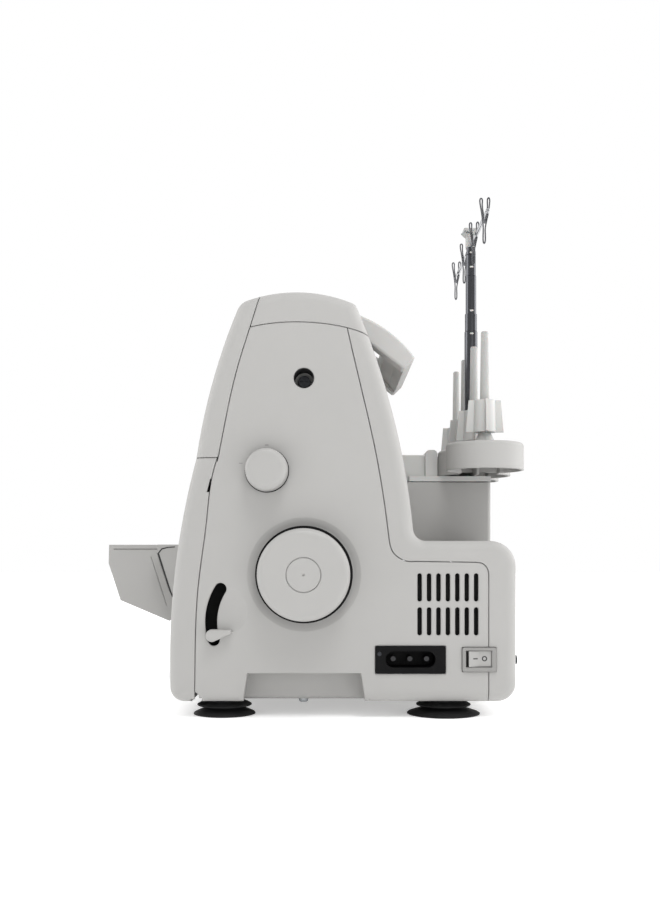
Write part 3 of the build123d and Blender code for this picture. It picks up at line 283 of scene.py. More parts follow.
# Dark sleeve in the screw port: the same grained ABS in charcoal, as painted shade for the port's deep inside.
PORT_SHADE_ABS = Finish("charcoal_abs_port_shade", "#2E2E2F", "#262627", 0.55, 0.06, Surface.MOULD_GRAIN, 0.9, 0.006, 0.4, mirror=0.3)
# Black needle felt: no gloss at all, with fibres drawn as a fine mottle; it stands in as painted shade for the dark
# hollows behind openings.
SHADE_FELT = Finish("black_felt_painted_shade", "#050505", "#0B0B0B", 0.95, 0.03, Surface.RUBBER, 0.9, 0.05, 0.1)
# Paler ABS of the switch's rocker, which stands out from its grey bezel.
ROCKER_ABS = Finish("pale_abs_rocker", "#A6A5A3", "#A09F9D", 0.4, 0.05, Surface.GLOSS, 1.2, 0.003, 0.5, mirror=0.35)
# Thin-walled polypropylene of the cone holders and the stand's clamp, also on the tower cap: a paler tone that paints
# the light falling on them and passing their fins.
PALE_LIT_PP = Finish(
    "pale_polypropylene_painted_light", "#C4C4C2", "#BDBDBB", 0.42, 0.06, Surface.GLOSS, 1.2, 0.003, 0.6, glow=0.1, mirror=0.35
)
# Thin ABS of the carry handle: a little paler than the casing, as painted light for the underside that light from
# behind brightens; light also comes through its lip.
PALE_LIT_HANDLE_ABS = Finish("pale_abs_handle_painted_light", "#B5B4B2", "#AFAEAC", 0.5, 0.05, Surface.GLOSS, 1.2, 0.003, 0.5, glow=0.08, mirror=0.3)
# Grey ABS of the switch: a shade darker than the casing, from a polished mould.
SWITCH_ABS = Finish("grey_abs_switch", "#8E8D8B", "#888785", 0.4, 0.05, Surface.GLOSS, 1.2, 0.003, 0.5, mirror=0.35)
# Nickel pins deep in the inlet, made nearly black as painted shade of the inlet's hollow, with a small glint at the
# tip.
SHADED_PIN_METAL = Finish("nickel_pins_painted_shade", "#3A3A3B", "#303031", 0.22, 0.05, Surface.TURNED, 0.4, 0.002, 0.6, metallic=1.0)
# Black-oxided steel screws: dark, with a dull blue-grey glint.
BLACK_OXIDE = Finish("black_oxide_steel", "#3C3D40", "#303134", 0.34, 0.08, Surface.TURNED, 0.4, 0.003, 0.2, metallic=1.0)
# Nickelled wire of the thread guides: dark between bright glints.
GUIDE_WIRE = Finish("nickelled_wire", "#66676A", "#56575A", 0.16, 0.05, Surface.TURNED, 0.4, 0.002, 0.1, metallic=1.0)
# Faint warm grey ink of the dial's ticks.
TICK_INK = Finish("grey_tick_ink", "#8B8A88", "#848382", 0.4, 0.05, Surface.GLOSS, 0.8, 0.001, 0.05)
# Pad-printed ink: near black and a little glossier than the ABS that it lies on.
PRINT_INK = Finish("pad_print_ink", "#1C1C1D", "#262627", 0.38, 0.05, Surface.GLOSS, 0.8, 0.001, 0.05)

SLOT_FINISH = {
    "body_abs": BODY_ABS,
    "inner_plastic": SHADED_INNER_ABS,
    "control_abs": CONTROL_ABS,
    "dial_plastic": DIAL_ACETAL,
    "stand_plastic": STAND_PP,
    "tube_metal": TUBE_CHROME,
    "bright_steel": BRIGHT_STEEL,
    "plate_steel": PLATE_STEEL,
    "cast_frame": CAST_ALLOY,
    "brass_parts": BRASS,
    "black_plastic": BLACK_NYLON,
    "belt_rubber": BELT_RUBBER,
    "foot_rubber": FOOT_RUBBER,
    "motor_can": ZINC_STEEL,
    "lamp_lens": LAMP_PC,
}


# ---------------------------------------------------------------- mesh tools


def mm(*values: float) -> Vector:
    """Turn a point in millimetres to a vector in metres."""
    return Vector(values) * MM


def finish_piece(
    mesh: bmesh.types.BMesh,
    name: str,
    body: str,
    finishes: Sequence[Finish],
    replaces: Sequence[str] = (),
    smooth_deg: float = 35.0,
) -> bpy.types.Object:
    """Turn a bmesh in metres to a finished piece that rides on a body.

    Args:
        mesh: The mesh, which is freed.
        name: The piece's name.
        body: The CAD body that it rides on.
        finishes: Finishes in the order of the faces' material indices.
        replaces: CAD nodes that it stands for.
        smooth_deg: Edges that turn by less than this are shaded smooth.

    Returns:
        The object.
    """
    bmesh.ops.remove_doubles(mesh, verts=mesh.verts, dist=1e-6)
    bmesh.ops.recalc_face_normals(mesh, faces=mesh.faces)
    for face in mesh.faces:
        face.smooth = True
    limit = math.radians(smooth_deg)
    for edge in mesh.edges:
        edge.smooth = len(edge.link_faces) == 2 and edge.calc_face_angle(0.0) < limit
    data = bpy.data.meshes.new(name)
    mesh.to_mesh(data)
    mesh.free()
    for finish in finishes:
        data.materials.append(finish.material())
    piece = bpy.data.objects.new(name, data)
    bpy.context.scene.collection.objects.link(piece)
    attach(piece, body)
    if replaces:
        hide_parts(*replaces)
    log.info("%s: %d faces on %s", name, len(data.polygons), body)
    return piece


def turned(
    mesh: bmesh.types.BMesh,
    profile: Iterable[tuple[float, float]],
    centre: Vector,
    axis: Vector,
    steps: int = 72,
    material: int = 0,
) -> list[bmesh.types.BMFace]:
    """Turn a profile about an axis, as on a lathe.

    Args:
        mesh: The bmesh that gets the form.
        profile: Points of (distance along the axis, radius) in millimetres; both ends at radius 0 close it.
        centre: A point on the axis, in metres.
        axis: The axis.
        steps: Steps round.
        material: Material index.

    Returns:
        The new faces.
    """
    axis = axis.normalized()
    side = axis.orthogonal().normalized()
    before = set(mesh.faces)
    verts = [mesh.verts.new(centre + axis * (along * MM) + side * (radius * MM)) for along, radius in profile]
    edges = [mesh.edges.new(pair) for pair in zip(verts, verts[1:])]
    bmesh.ops.spin(
        mesh, geom=verts + edges, cent=centre, axis=axis, angle=2 * math.pi, steps=steps, use_merge=True,
        use_normal_flip=False, use_duplicate=False,
    )
    bmesh.ops.remove_doubles(mesh, verts=[v for v in mesh.verts if v.is_valid], dist=2e-6)
    faces = [face for face in mesh.faces if face not in before]
    for face in faces:
        face.material_index = material
    return faces


def plate(
    mesh: bmesh.types.BMesh,
    outline: Sequence[Vector],
    thickness: Vector,
    material: int = 0,
) -> list[bmesh.types.BMFace]:
    """Extrude a flat outline to a plate.

    Args:
        mesh: The bmesh that gets the plate.
        outline: Corners in order, in metres.
        thickness: The extrusion.
        material: Material index.

    Returns:
        The new faces.
    """
    before = set(mesh.faces)
    base = mesh.faces.new([mesh.verts.new(point) for point in outline])
    top = bmesh.ops.extrude_face_region(mesh, geom=[base], use_keep_orig=True)
    bmesh.ops.translate(mesh, verts=[v for v in top["geom"] if isinstance(v, bmesh.types.BMVert)], vec=thickness)
    faces = [face for face in mesh.faces if face not in before]
    for face in faces:
        face.material_index = material
    return faces


def rounded(
    mesh: bmesh.types.BMesh, faces: Iterable[bmesh.types.BMFace], radius_mm: float, angle_deg: float = 40.0, steps: int = 3
) -> None:
    """Round the sharp edges of some faces.

    Args:
        mesh: The bmesh.
        faces: The faces whose edges are looked at.
        radius_mm: The rounding's radius.
        angle_deg: Edges that turn by more than this are rounded.
        steps: Segments of the rounding.
    """
    bmesh.ops.recalc_face_normals(mesh, faces=mesh.faces)
    limit = math.radians(angle_deg)
    sharp = {
        edge for face in faces for edge in face.edges if len(edge.link_faces) == 2 and edge.calc_face_angle(0.0) > limit
    }
    bmesh.ops.bevel(
        mesh, geom=list(sharp), offset=radius_mm * MM, segments=steps, profile=0.5, affect="EDGES", material=-1,
        clamp_overlap=True,
    )


def ring_points(centre: Vector, radius: float, steps: int, start: float = 0.0, turn: float = 360.0) -> list[Vector]:
    """Points round a circle in the YZ plane.

    Args:
        centre: The circle's centre, in metres.
        radius: Its radius, in metres.
        steps: Number of points.
        start: First angle in degrees, from +Y towards +Z.
        turn: Angle that the points cover; a full turn leaves out its last point.

    Returns:
        The points.
    """
    share = steps if turn == 360.0 else steps - 1
    angles = [math.radians(start + turn * k / share) for k in range(steps)]
    return [centre + Vector((0.0, math.cos(a), math.sin(a))) * radius for a in angles]


def bent_wire(name: str, points: Sequence[Vector], radius_mm: float) -> bmesh.types.BMesh:
    """Sweep a round wire along a smooth closed line.

    Args:
        name: Name of the scratch curve.
        points: Control points, in metres.
        radius_mm: The wire's radius.

    Returns:
        A bmesh of the wire.
    """
    curve = bpy.data.curves.new(name, "CURVE")
    curve.dimensions = "3D"
    curve.bevel_depth = radius_mm * MM
    curve.bevel_resolution = 3
    curve.resolution_u = 5
    spline = curve.splines.new("NURBS")
    spline.points.add(len(points) - 1)
    for control, point in zip(spline.points, points):
        control.co = (*point, 1.0)
    spline.use_cyclic_u = True
    spline.order_u = 3
    scratch = bpy.data.objects.new(name, curve)
    shape = bpy.data.meshes.new_from_object(scratch)
    wire = bmesh.new()
    wire.from_mesh(shape)
    bpy.data.objects.remove(scratch)
    bpy.data.curves.remove(curve)
    bpy.data.meshes.remove(shape)
    return wire


def lettering(text: str, height_mm: float) -> bmesh.types.BMesh:
    """Cut generic numerals as a flat mesh, centred, reading along +X with +Y up.

    Args:
        text: The characters.
        height_mm: Their height.

    Returns:
        A bmesh in the XY plane, in metres.
    """
    curve = bpy.data.curves.new("numeral", "FONT")
    curve.body = text
    curve.size = height_mm * MM * 1.4
    curve.align_x = "CENTER"
    curve.align_y = "CENTER"
    scratch = bpy.data.objects.new("numeral", curve)
    shape = bpy.data.meshes.new_from_object(scratch)
    flat = bmesh.new()
    flat.from_mesh(shape)
    bpy.data.objects.remove(scratch)
    bpy.data.curves.remove(curve)
    bpy.data.meshes.remove(shape)
    return flat


def join(mesh: bmesh.types.BMesh, other: bmesh.types.BMesh, material: int = 0) -> None:
    """Add one bmesh to another and free it.

    Args:
        mesh: The bmesh that grows.
        other: The bmesh that is added.
        material: Material index of the added faces.
    """
    for face in other.faces:
        face.material_index = material
    scratch = bpy.data.meshes.new("joined")
    other.to_mesh(scratch)
    other.free()
    mesh.from_mesh(scratch)
    bpy.data.meshes.remove(scratch)


# ---------------------------------------------------------------- hand controls


@dataclass
class Handwheel:
    """The handwheel with its centre cap and a dark flange behind it, a black ring that paints the shade in the gap
    between the wheel and the cover.

    Attributes:
        centre_mm: Y and Z of the shaft.
        back_mm: X of the flange's back.
        face_mm: X of the wheel's face.
        radius_mm: Radius of the rim.
        flange_mm: Radius of the dark flange.
        cap_mm: Radius of the cap's parting line.
        chord_mm: Height of the facet's lower edge over the shaft.
    """

    centre_mm: tuple[float, float] = (6.9, 100.9)
    back_mm: float = 162.6
    face_mm: float = 182.9
    radius_mm: float = 32.0
    flange_mm: float = 34.1
    cap_mm: float = 11.9
    chord_mm: float = 25.0

    def build(self) -> bpy.types.Object:
        """Turn the wheel, tilt the facet across its top and finish it."""
        mesh = bmesh.new()
        centre = mm(0, *self.centre_mm)
        axis = Vector((1, 0, 0))
        face, rim = self.face_mm, self.radius_mm
        profile = [
            (self.back_mm, 0), (self.back_mm, self.flange_mm), (self.back_mm + 2.2, self.flange_mm),
            (self.back_mm + 2.7, self.flange_mm - 0.6), (self.back_mm + 2.8, rim), (face - 4.2, rim),
            (face - 2.4, rim - 0.4), (face - 1.2, rim - 1.2), (face - 0.4, rim - 2.4), (face - 0.05, rim - 3.8),
            (face, rim - 5.2), (face, rim - 12), (face, self.cap_mm + 0.35), (face - 0.3, self.cap_mm + 0.2),
            (face - 1.0, self.cap_mm + 0.15), (face - 1.0, self.cap_mm - 0.15), (face - 0.45, self.cap_mm - 0.2),
            (face - 0.2, self.cap_mm - 0.5), (face - 0.1, 4), (face - 0.1, 1.0), (face - 0.5, 0.7), (face - 1.6, 0),
        ]
        faces = turned(mesh, profile, centre, axis, 120)
        chord = centre.z + self.chord_mm * MM
        bmesh.ops.bisect_plane(
            mesh, geom=mesh.verts[:] + mesh.edges[:] + mesh.faces[:], plane_co=(0, 0, chord), plane_no=(0, 0, 1),
            dist=1e-7,
        )
        for vert in mesh.verts:
            if vert.co.z > chord and vert.co.x > (face - 3.0) * MM:
                vert.co.x -= (vert.co.z - chord) * 0.16
        # The flange's rim takes the black finish: painted shade for the gap between the wheel and the cover.
        for part in mesh.faces:
            middle = part.calc_center_median()
            out = math.hypot(middle.y - centre.y, middle.z - centre.z)
            part.material_index = 1 if middle.x < (self.back_mm + 2.79) * MM and out > rim * MM * 0.9 else 0
        log.debug("wheel made of %d faces", len(faces))
        return finish_piece(
            mesh, "handwheel_body", "handwheel_shaft", (CONTROL_ABS, BLACK_NYLON),
            ("handwheel", "handwheel_cap"), 24.0,
        )


@dataclass
class StitchDial:
    """The stitch length dial and the two tick marks on the cover beside it.

    Attributes:
        centre_mm: Y and Z of its shaft.
        base_mm: X of its back.
        face_mm: X of its face.
        radius_mm: Its radius.
        flutes: Finger flutes round its side.
        ticks_mm: Y and Z of each tick's middle, and its length along Y and Z.
    """

    centre_mm: tuple[float, float] = (-19.0, 173.7)
    base_mm: float = 161.5
    face_mm: float = 175.9
    radius_mm: float = 15.0
    flutes: int = 60
    ticks_mm: tuple[tuple[float, float, float, float], ...] = ((-37.4, 178.8, 2.6, 0.6), (-19.2, 191.6, 2.4, 0.7))

    def build(self) -> None:
        """Turn the dial, press its flutes and print the ticks."""
        mesh = bmesh.new()
        centre = mm(0, *self.centre_mm)
        base, face, rim = self.base_mm, self.face_mm, self.radius_mm
        profile = [
            (base, 0), (base, rim + 0.5), (base + 0.9, rim + 0.5), (base + 1.1, rim), (base + 2.6, rim), (base + 2.8, rim - 0.8), (base + 3.0, rim), (base + 4, rim),
            (base + 7, rim - 0.05), (face - 4.0, rim - 0.15), (face - 2.4, rim - 0.5), (face - 1.2, rim - 1.3),
            (face - 0.4, rim - 2.5), (face - 0.05, rim - 4.2), (face, rim - 6), (face, 0),
        ]
        turned(mesh, profile, centre, Vector((1, 0, 0)), self.flutes * 2)
        for vert in mesh.verts:
            arm = Vector((0, vert.co.y - centre.y, vert.co.z - centre.z))
            if (base + 3.5) * MM < vert.co.x < (face - 3.8) * MM and arm.length > (rim - 1) * MM:
                step = round(math.atan2(arm.z, arm.y) / math.pi * self.flutes)
                if step % 2:
                    vert.co -= arm.normalized() * 0.35 * MM
        # The back band takes the black finish: painted shade for the gap between the dial and the cover.
        for part in mesh.faces:
            part.material_index = 1 if part.calc_center_median().x < (base + 2.75) * MM else 0
        finish_piece(
            mesh, "stitch_dial_knob", "stitch_dial", (CONTROL_ABS, BLACK_NYLON), ("stitch_length_dial",)
        )
        marks = bmesh.new()
        for y, z, wide, high in self.ticks_mm:
            corners = [
                mm(161.0, y - wide / 2, z - high / 2), mm(161.0, y + wide / 2, z - high / 2),
                mm(161.0, y + wide / 2, z + high / 2), mm(161.0, y - wide / 2, z + high / 2),
            ]
            plate(marks, corners, mm(0.08, 0, 0))
        finish_piece(marks, "stitch_dial_ticks", "root", (TICK_INK,))


@dataclass
class FeedLever:
    """The differential feed lever: a teardrop finger tab outside, a dark arm inside.

    Attributes:
        stud_mm: Y and Z of the stud that it turns on.
        reach_mm: Distance from the stud to the tab's middle.
        drop_deg: Angle of the arm under the horizontal.
        tab_mm: Radius of the tab's round end.
        tip_mm: Distance from the round end to the tip, along Y and Z.
        cover_mm: X of the cover's face.
    """

    stud_mm: tuple[float, float] = (-15.7, 67.9)
    reach_mm: float = 42.6
    drop_deg: float = 13.0
    tab_mm: float = 4.3
    tip_mm: tuple[float, float] = (12.6, 2.7)
    cover_mm: float = 161.0

    def build(self) -> bpy.types.Object:
        """Cut the tab and the arm with its stem and boss, and round the tab."""
        mesh = bmesh.new()
        slope = math.radians(self.drop_deg)
        y = self.stud_mm[0] - self.reach_mm * math.cos(slope)
        z = self.stud_mm[1] - self.reach_mm * math.sin(slope)
        middle = mm(self.cover_mm + 0.5, y, z)
        outline = ring_points(middle, self.tab_mm * MM, 18, 92.0, 200.0)
        tip = middle + mm(0, *self.tip_mm)
        outline += ring_points(tip, 1.5 * MM, 7, 292.0, 160.0)
        tab = plate(mesh, outline, mm(6.2, 0, 0))
        rounded(mesh, [f for f in tab if f.is_valid], 1.1, 50.0, 4)
        stem = plate(mesh, ring_points(mm(149.2, y, z), 3.3 * MM, 20), mm(12.0, 0, 0), 1)
        boss = plate(mesh, ring_points(mm(148.2, *self.stud_mm), 7.0 * MM, 32), mm(4.6, 0, 0), 1)
        arm_corners = [
            mm(149.2, self.stud_mm[0] - 3, self.stud_mm[1] + 4), mm(149.2, self.stud_mm[0] - 3, self.stud_mm[1] - 4),
            mm(149.2, y, z - 3), mm(149.2, y, z + 3),
        ]
        arm = plate(mesh, arm_corners, mm(2.6, 0, 0), 1)
        log.debug("lever of %d faces", len(stem) + len(boss) + len(arm))
        return finish_piece(
            mesh, "feed_lever_tab", "feed_lever_body", (CONTROL_ABS, BLACK_NYLON), ("feed_lever",)
        )


@dataclass
class PowerMarks:
    """The off and on marks on the switch rocker, which slopes a little.

    Attributes:
        rocker: The rocker's CAD node, whose face the marks lie on.
        height_mm: Z of both marks.
        bar_mm: Y of the bar's middle.
        ring_mm: Y of the ring's middle.
    """

    rocker: bpy.types.Object
    height_mm: float = 41.9
    bar_mm: float = 126.9
    ring_mm: float = 133.3

    def build(self) -> bpy.types.Object:
        """Print the bar and the ring on the rocker's face."""
        mesh = bmesh.new()
        bar = [
            mm(0, self.bar_mm - 1.6, self.height_mm - 0.42), mm(0, self.bar_mm + 1.6, self.height_mm - 0.42),
            mm(0, self.bar_mm + 1.6, self.height_mm + 0.42), mm(0, self.bar_mm - 1.6, self.height_mm + 0.42),
        ]
        mesh.faces.new([mesh.verts.new(point) for point in bar])
        middle = mm(0, self.ring_mm, self.height_mm)
        outer = [mesh.verts.new(point) for point in ring_points(middle, 1.9 * MM, 28)]
        inner = [mesh.verts.new(point) for point in ring_points(middle, 1.05 * MM, 28)]
        loops = [mesh.edges.new((ring[k], ring[(k + 1) % 28])) for ring in (outer, inner) for k in range(28)]
        bmesh.ops.bridge_loops(mesh, edges=loops)
        lift = bmesh.ops.extrude_face_region(mesh, geom=mesh.faces[:], use_keep_orig=True)
        tops = {item for item in lift["geom"] if isinstance(item, bmesh.types.BMVert)}
        for vert in mesh.verts:
            hit, place, _normal, _index = self.rocker.ray_cast(
                Vector((0.2, vert.co.y, vert.co.z)), Vector((-1, 0, 0)), distance=0.1
            )
            surface = place.x if hit else 0.163
            vert.co.x = surface + (0.08 * MM if vert in tops else -0.02 * MM)
        return finish_piece(mesh, "switch_marks", "power_rocker", (PRINT_INK,))


# ---------------------------------------------------------------- tension dials


@dataclass
class TensionDial:
    """One thumb wheel with a knurl on both shoulders and numerals on the band between.

    Attributes:
        number: Its number from the left.
        middle_mm: X of its middle.
        axis_mm: Y and Z of the spindle.
        radius_mm: Radius over the knurl.
        half_mm: Half its width.
        teeth: Knurl teeth.
    """

    number: int
    middle_mm: float
    axis_mm: tuple[float, float] = (-39.5, 241.0)
    radius_mm: float = 17.15
    half_mm: float = 4.0
    teeth: int = 60

    def build(self) -> bpy.types.Object:
        """Turn the wheel, press the knurl and print 0 to 9 round it."""
        mesh = bmesh.new()
        centre = mm(self.middle_mm, *self.axis_mm)
        rim, half = self.radius_mm, self.half_mm
        profile = [
            (-half, 3.2), (-half, rim - 1.2), (-half + 0.4, rim), (-half + 1.1, rim), (-half + 1.25, rim - 0.5),
            (half - 1.25, rim - 0.5), (half - 1.1, rim), (half - 0.4, rim), (half, rim - 1.2), (half, 3.2), (-half, 3.2),
        ]
        turned(mesh, profile, centre, Vector((1, 0, 0)), self.teeth * 2)
        for vert in mesh.verts:
            arm = Vector((0, vert.co.y - centre.y, vert.co.z - centre.z))
            step = round(math.atan2(arm.z, arm.y) / math.pi * self.teeth)
            if arm.length > (rim - 0.1) * MM and step % 2:
                vert.co -= arm.normalized() * 0.45 * MM
        for value in range(10):
            angle = math.radians(180 - 30 * value + 30)
            numeral = lettering(str(value), 3.4)
            bmesh.ops.solidify(numeral, geom=numeral.faces[:], thickness=0.05 * MM)
            outward = Vector((0, math.cos(angle), math.sin(angle)))
            up = Vector((0, math.sin(angle), -math.cos(angle)))
            turn = Matrix((Vector((1, 0, 0)), up, outward)).transposed()
            if turn.determinant() < 0:
                turn = Matrix((Vector((1, 0, 0)), -up, outward)).transposed()
            place = Matrix.Translation(centre + outward * (rim - 0.46) * MM) @ turn.to_4x4()
            bmesh.ops.transform(numeral, matrix=place, verts=numeral.verts)
            join(mesh, numeral, 1)
        node = f"tension_dial_{self.number}"
        return finish_piece(
            mesh, f"{node}_wheel", f"tension_{self.number}", (DIAL_ACETAL, PRINT_INK), (node,)
        )


# ---------------------------------------------------------------- thread stand


@dataclass
class GuideHead:
    """The head of the telescopic tube with its cross bar, and the tip of the dark tube under it.

    Attributes:
        rod_mm: X and Y of the tube.
        stem_mm: Z of the stem's foot and of its top.
        top_mm: Z of the head's top.
        bar_mm: X of the cross bar's ends.
        bar_z_mm: Z of the bar.
    """

    rod_mm: tuple[float, float] = (4.0, 144.8)
    stem_mm: tuple[float, float] = (374.4, 385.0)
    top_mm: float = 389.5
    bar_mm: tuple[float, float] = (-91.8, 99.8)
    bar_z_mm: float = 375.8

    def build(self) -> bpy.types.Object:
        """Loft the T-shaped head, put the bar through it and the tube's tip under it."""
        mesh = bmesh.new()
        x, y = self.rod_mm
        foot, shoulder = self.stem_mm
        base = mesh.faces.new([
            mesh.verts.new(mm(x + a, y + b, foot)) for a, b in ((-6.6, -3.9), (6.6, -3.9), (6.6, 3.9), (-6.6, 3.9))
        ])
        for z, grow in ((shoulder - 3.0, 1.0), (shoulder, 1.0), (shoulder + 2.2, 1.75), (self.top_mm, 1.75)):
            grown = bmesh.ops.extrude_face_region(mesh, geom=[base])
            base = next(item for item in grown["geom"] if isinstance(item, bmesh.types.BMFace))
            half = 3.9 * grow
            for vert in base.verts:
                vert.co.z = z * MM
                vert.co.y = (y + math.copysign(half, vert.co.y - y * MM)) * MM
                vert.co.x = (x + math.copysign(6.6 + (0.9 if grow > 1 else 0), vert.co.x - x * MM)) * MM
        corners = [mm(x + a, y + b, foot) for a, b in ((-6.6, -3.9), (-6.6, 3.9), (6.6, 3.9), (6.6, -3.9))]
        mesh.faces.new([mesh.verts.new(corner) for corner in corners])
        bmesh.ops.remove_doubles(mesh, verts=mesh.verts, dist=1e-6)
        rounded(mesh, mesh.faces[:], 0.9, 30.0, 3)
        bar = [(self.bar_mm[0], 0), (self.bar_mm[0], 1.3), (self.bar_mm[0] + 0.3, 1.6), (self.bar_mm[1] - 0.3, 1.6),
               (self.bar_mm[1], 1.3), (self.bar_mm[1], 0)]
        turned(mesh, bar, mm(0, y, self.bar_z_mm), Vector((1, 0, 0)), 20, 1)
        tip = [(368.2, 0), (368.2, 3.9), (368.5, 4.2), (371.0, 4.2), (371.2, 3.8), (375.4, 3.8), (375.4, 0)]
        turned(mesh, tip, mm(x, y, 0), Vector((0, 0, 1)), 32, 2)
        return finish_piece(
            mesh, "guide_head_cap", "tube_top", (STAND_PP, BRIGHT_STEEL, TUBE_CHROME), ("guide_head",)
        )


@dataclass
class WireGuides:
    """Four V-shaped thread guides, each bent from one wire with an eye at each of its three ends.

    Attributes:
        places_mm: X of each guide.
        rod_y_mm: Y of the cross bar.
        radius_mm: Radius of the wire.
    """

    places_mm: tuple[float, ...] = (94.0, 34.0, -26.0, -86.0)
    rod_y_mm: float = 144.8
    radius_mm: float = 0.56

    def _outline(self, x: float) -> list[Vector]:
        """Control points of one guide's wire.

        Args:
            x: X of the guide, in millimetres.

        Returns:
            The points, in metres.
        """
        y = self.rod_y_mm - 1.9
        flat = [
            (-0.7, 364.5, 0.3), (-1.3, 369.0, 0.8), (-2.5, 377.0, 1.6), (-3.6, 382.0, 2.2), (-3.8, 384.8, 2.5),
            (-2.7, 386.0, 2.5), (-1.6, 384.8, 2.5), (-1.9, 381.0, 2.2), (-1.2, 376.0, 1.5), (-0.1, 369.5, 0.6),
            (0.3, 367.2, 0.0), (0.9, 369.5, -0.6), (2.2, 376.0, -1.5), (2.9, 381.0, -2.2), (2.6, 386.2, -2.6),
            (3.7, 388.4, -2.7), (4.8, 386.8, -2.6), (4.2, 381.0, -2.2), (3.3, 375.0, -1.6), (1.6, 368.0, -0.8),
            (0.7, 363.5, -0.3), (0.9, 358.0, 0.0), (0.9, 353.6, 0.0), (0.0, 351.8, 0.0), (-0.9, 353.6, 0.0),
            (-0.9, 358.0, 0.0),
        ]
        return [mm(x + across, y + along, z) for along, z, across in flat]

    def build(self) -> bpy.types.Object:
        """Bend the four guides."""
        mesh = bmesh.new()
        for x in self.places_mm:
            join(mesh, bent_wire("guide_wire", self._outline(x), self.radius_mm))
        return finish_piece(mesh, "thread_guide_wires", "tube_top", (GUIDE_WIRE,), ("wire_guides",), 60.0)


@dataclass
class TubeClips:
    """White spring clips in the windows at the tube's joints, white so that the windows read bright: painted light for
    the light seen through them.

    Attributes:
        rod_mm: X and Y of the tube.
        rows_mm: For each clip its body, its Z and the tube's radius there.
    """

    rod_mm: tuple[float, float] = (4.0, 144.8)
    rows_mm: tuple[tuple[str, float, float], ...] = (
        ("tube_top", 369.7, 4.15), ("tube_top", 357.5, 4.15), ("tube_middle", 320.5, 4.9), ("root", 301.0, 5.5)
    )

    def build(self) -> None:
        """Set a pair of clips in each joint, front and back."""
        for number, (body, z, radius) in enumerate(self.rows_mm, 1):
            mesh = bmesh.new()
            for side in (-1, 1):
                face_x = self.rod_mm[0] + side * (radius - 0.9)
                corners = [
                    mm(face_x, self.rod_mm[1] - 1.4, z - 0.7), mm(face_x, self.rod_mm[1] + 1.4, z - 0.7),
                    mm(face_x, self.rod_mm[1] + 1.4, z + 0.7), mm(face_x, self.rod_mm[1] - 1.4, z + 0.7),
                ]
                clip = plate(mesh, corners, mm(side * 1.1, 0, 0))
                rounded(mesh, clip, 0.25, 40.0, 2)
            # The clips take the white acetal as painted light in the tube's windows.
            finish_piece(mesh, f"tube_window_light_clip_{number}", body, (DIAL_ACETAL,))


# ---------------------------------------------------------------- feet and liners


@dataclass
class PortSleeve:
    """The charcoal sleeve that lines the deep screw port in the right side, as painted shade for the port's dark
    inside.

    Attributes:
        centre_mm: Y and Z of the port.
        span_mm: X of the sleeve's ends.
        radius_mm: Its outer and inner radius.
    """

    centre_mm: tuple[float, float] = (6.8, 238.5)
    span_mm: tuple[float, float] = (141.3, 160.6)
    radius_mm: tuple[float, float] = (7.15, 6.75)

    def build(self) -> bpy.types.Object:
        """Turn the sleeve with a small lead-in."""
        mesh = bmesh.new()
        (low, high), (outer, inner) = self.span_mm, self.radius_mm
        profile = [(low, inner), (high - 0.5, inner), (high, inner + 0.25), (high, outer), (low, outer), (low, inner)]
        turned(mesh, profile, mm(0, *self.centre_mm), Vector((1, 0, 0)), 48)
        return finish_piece(mesh, "screw_port_shade_sleeve", "root", (PORT_SHADE_ABS,))


@dataclass
class Feet:
    """Rubber feet: a wide flared lip on the floor, a neck, and a smaller flared collar above.

    Attributes:
        places_mm: X and Y of each foot, and how much wider than the front ones its lip is.
        top_mm: Z of the underside that they are screwed to.
    """

    places_mm: tuple[Point, ...] = ((137.0, -51.0, 0.0), (137.0, 107.0, 4.0), (-138.0, -46.0, 0.0), (-138.0, 107.0, 4.0))
    top_mm: float = 11.2

    def build(self) -> bpy.types.Object:
        """Turn the four feet."""
        mesh = bmesh.new()
        for x, y, wider in self.places_mm:
            profile = [
                (0, 0), (0, 21.4 + wider), (0.25, 22.2 + wider), (0.8, 22.3 + wider), (1.6, 21.6 + wider * 0.9),
                (3.2, 18.0 + wider * 0.6), (4.4, 14.6 + wider * 0.2), (5.4, 13.6), (6.0, 14.2), (6.3, 19.2), (6.8, 19.7),
                (7.4, 19.5), (8.6, 17.4), (9.6, 14.8), (self.top_mm - 0.1, 14.0), (self.top_mm - 0.1, 0),
            ]
            turned(mesh, profile, mm(x, y, 0), Vector((0, 0, 1)), 72)
        return finish_piece(mesh, "rubber_feet_flared", "root", (FOOT_RUBBER,), ("rubber_feet",), 28.0)


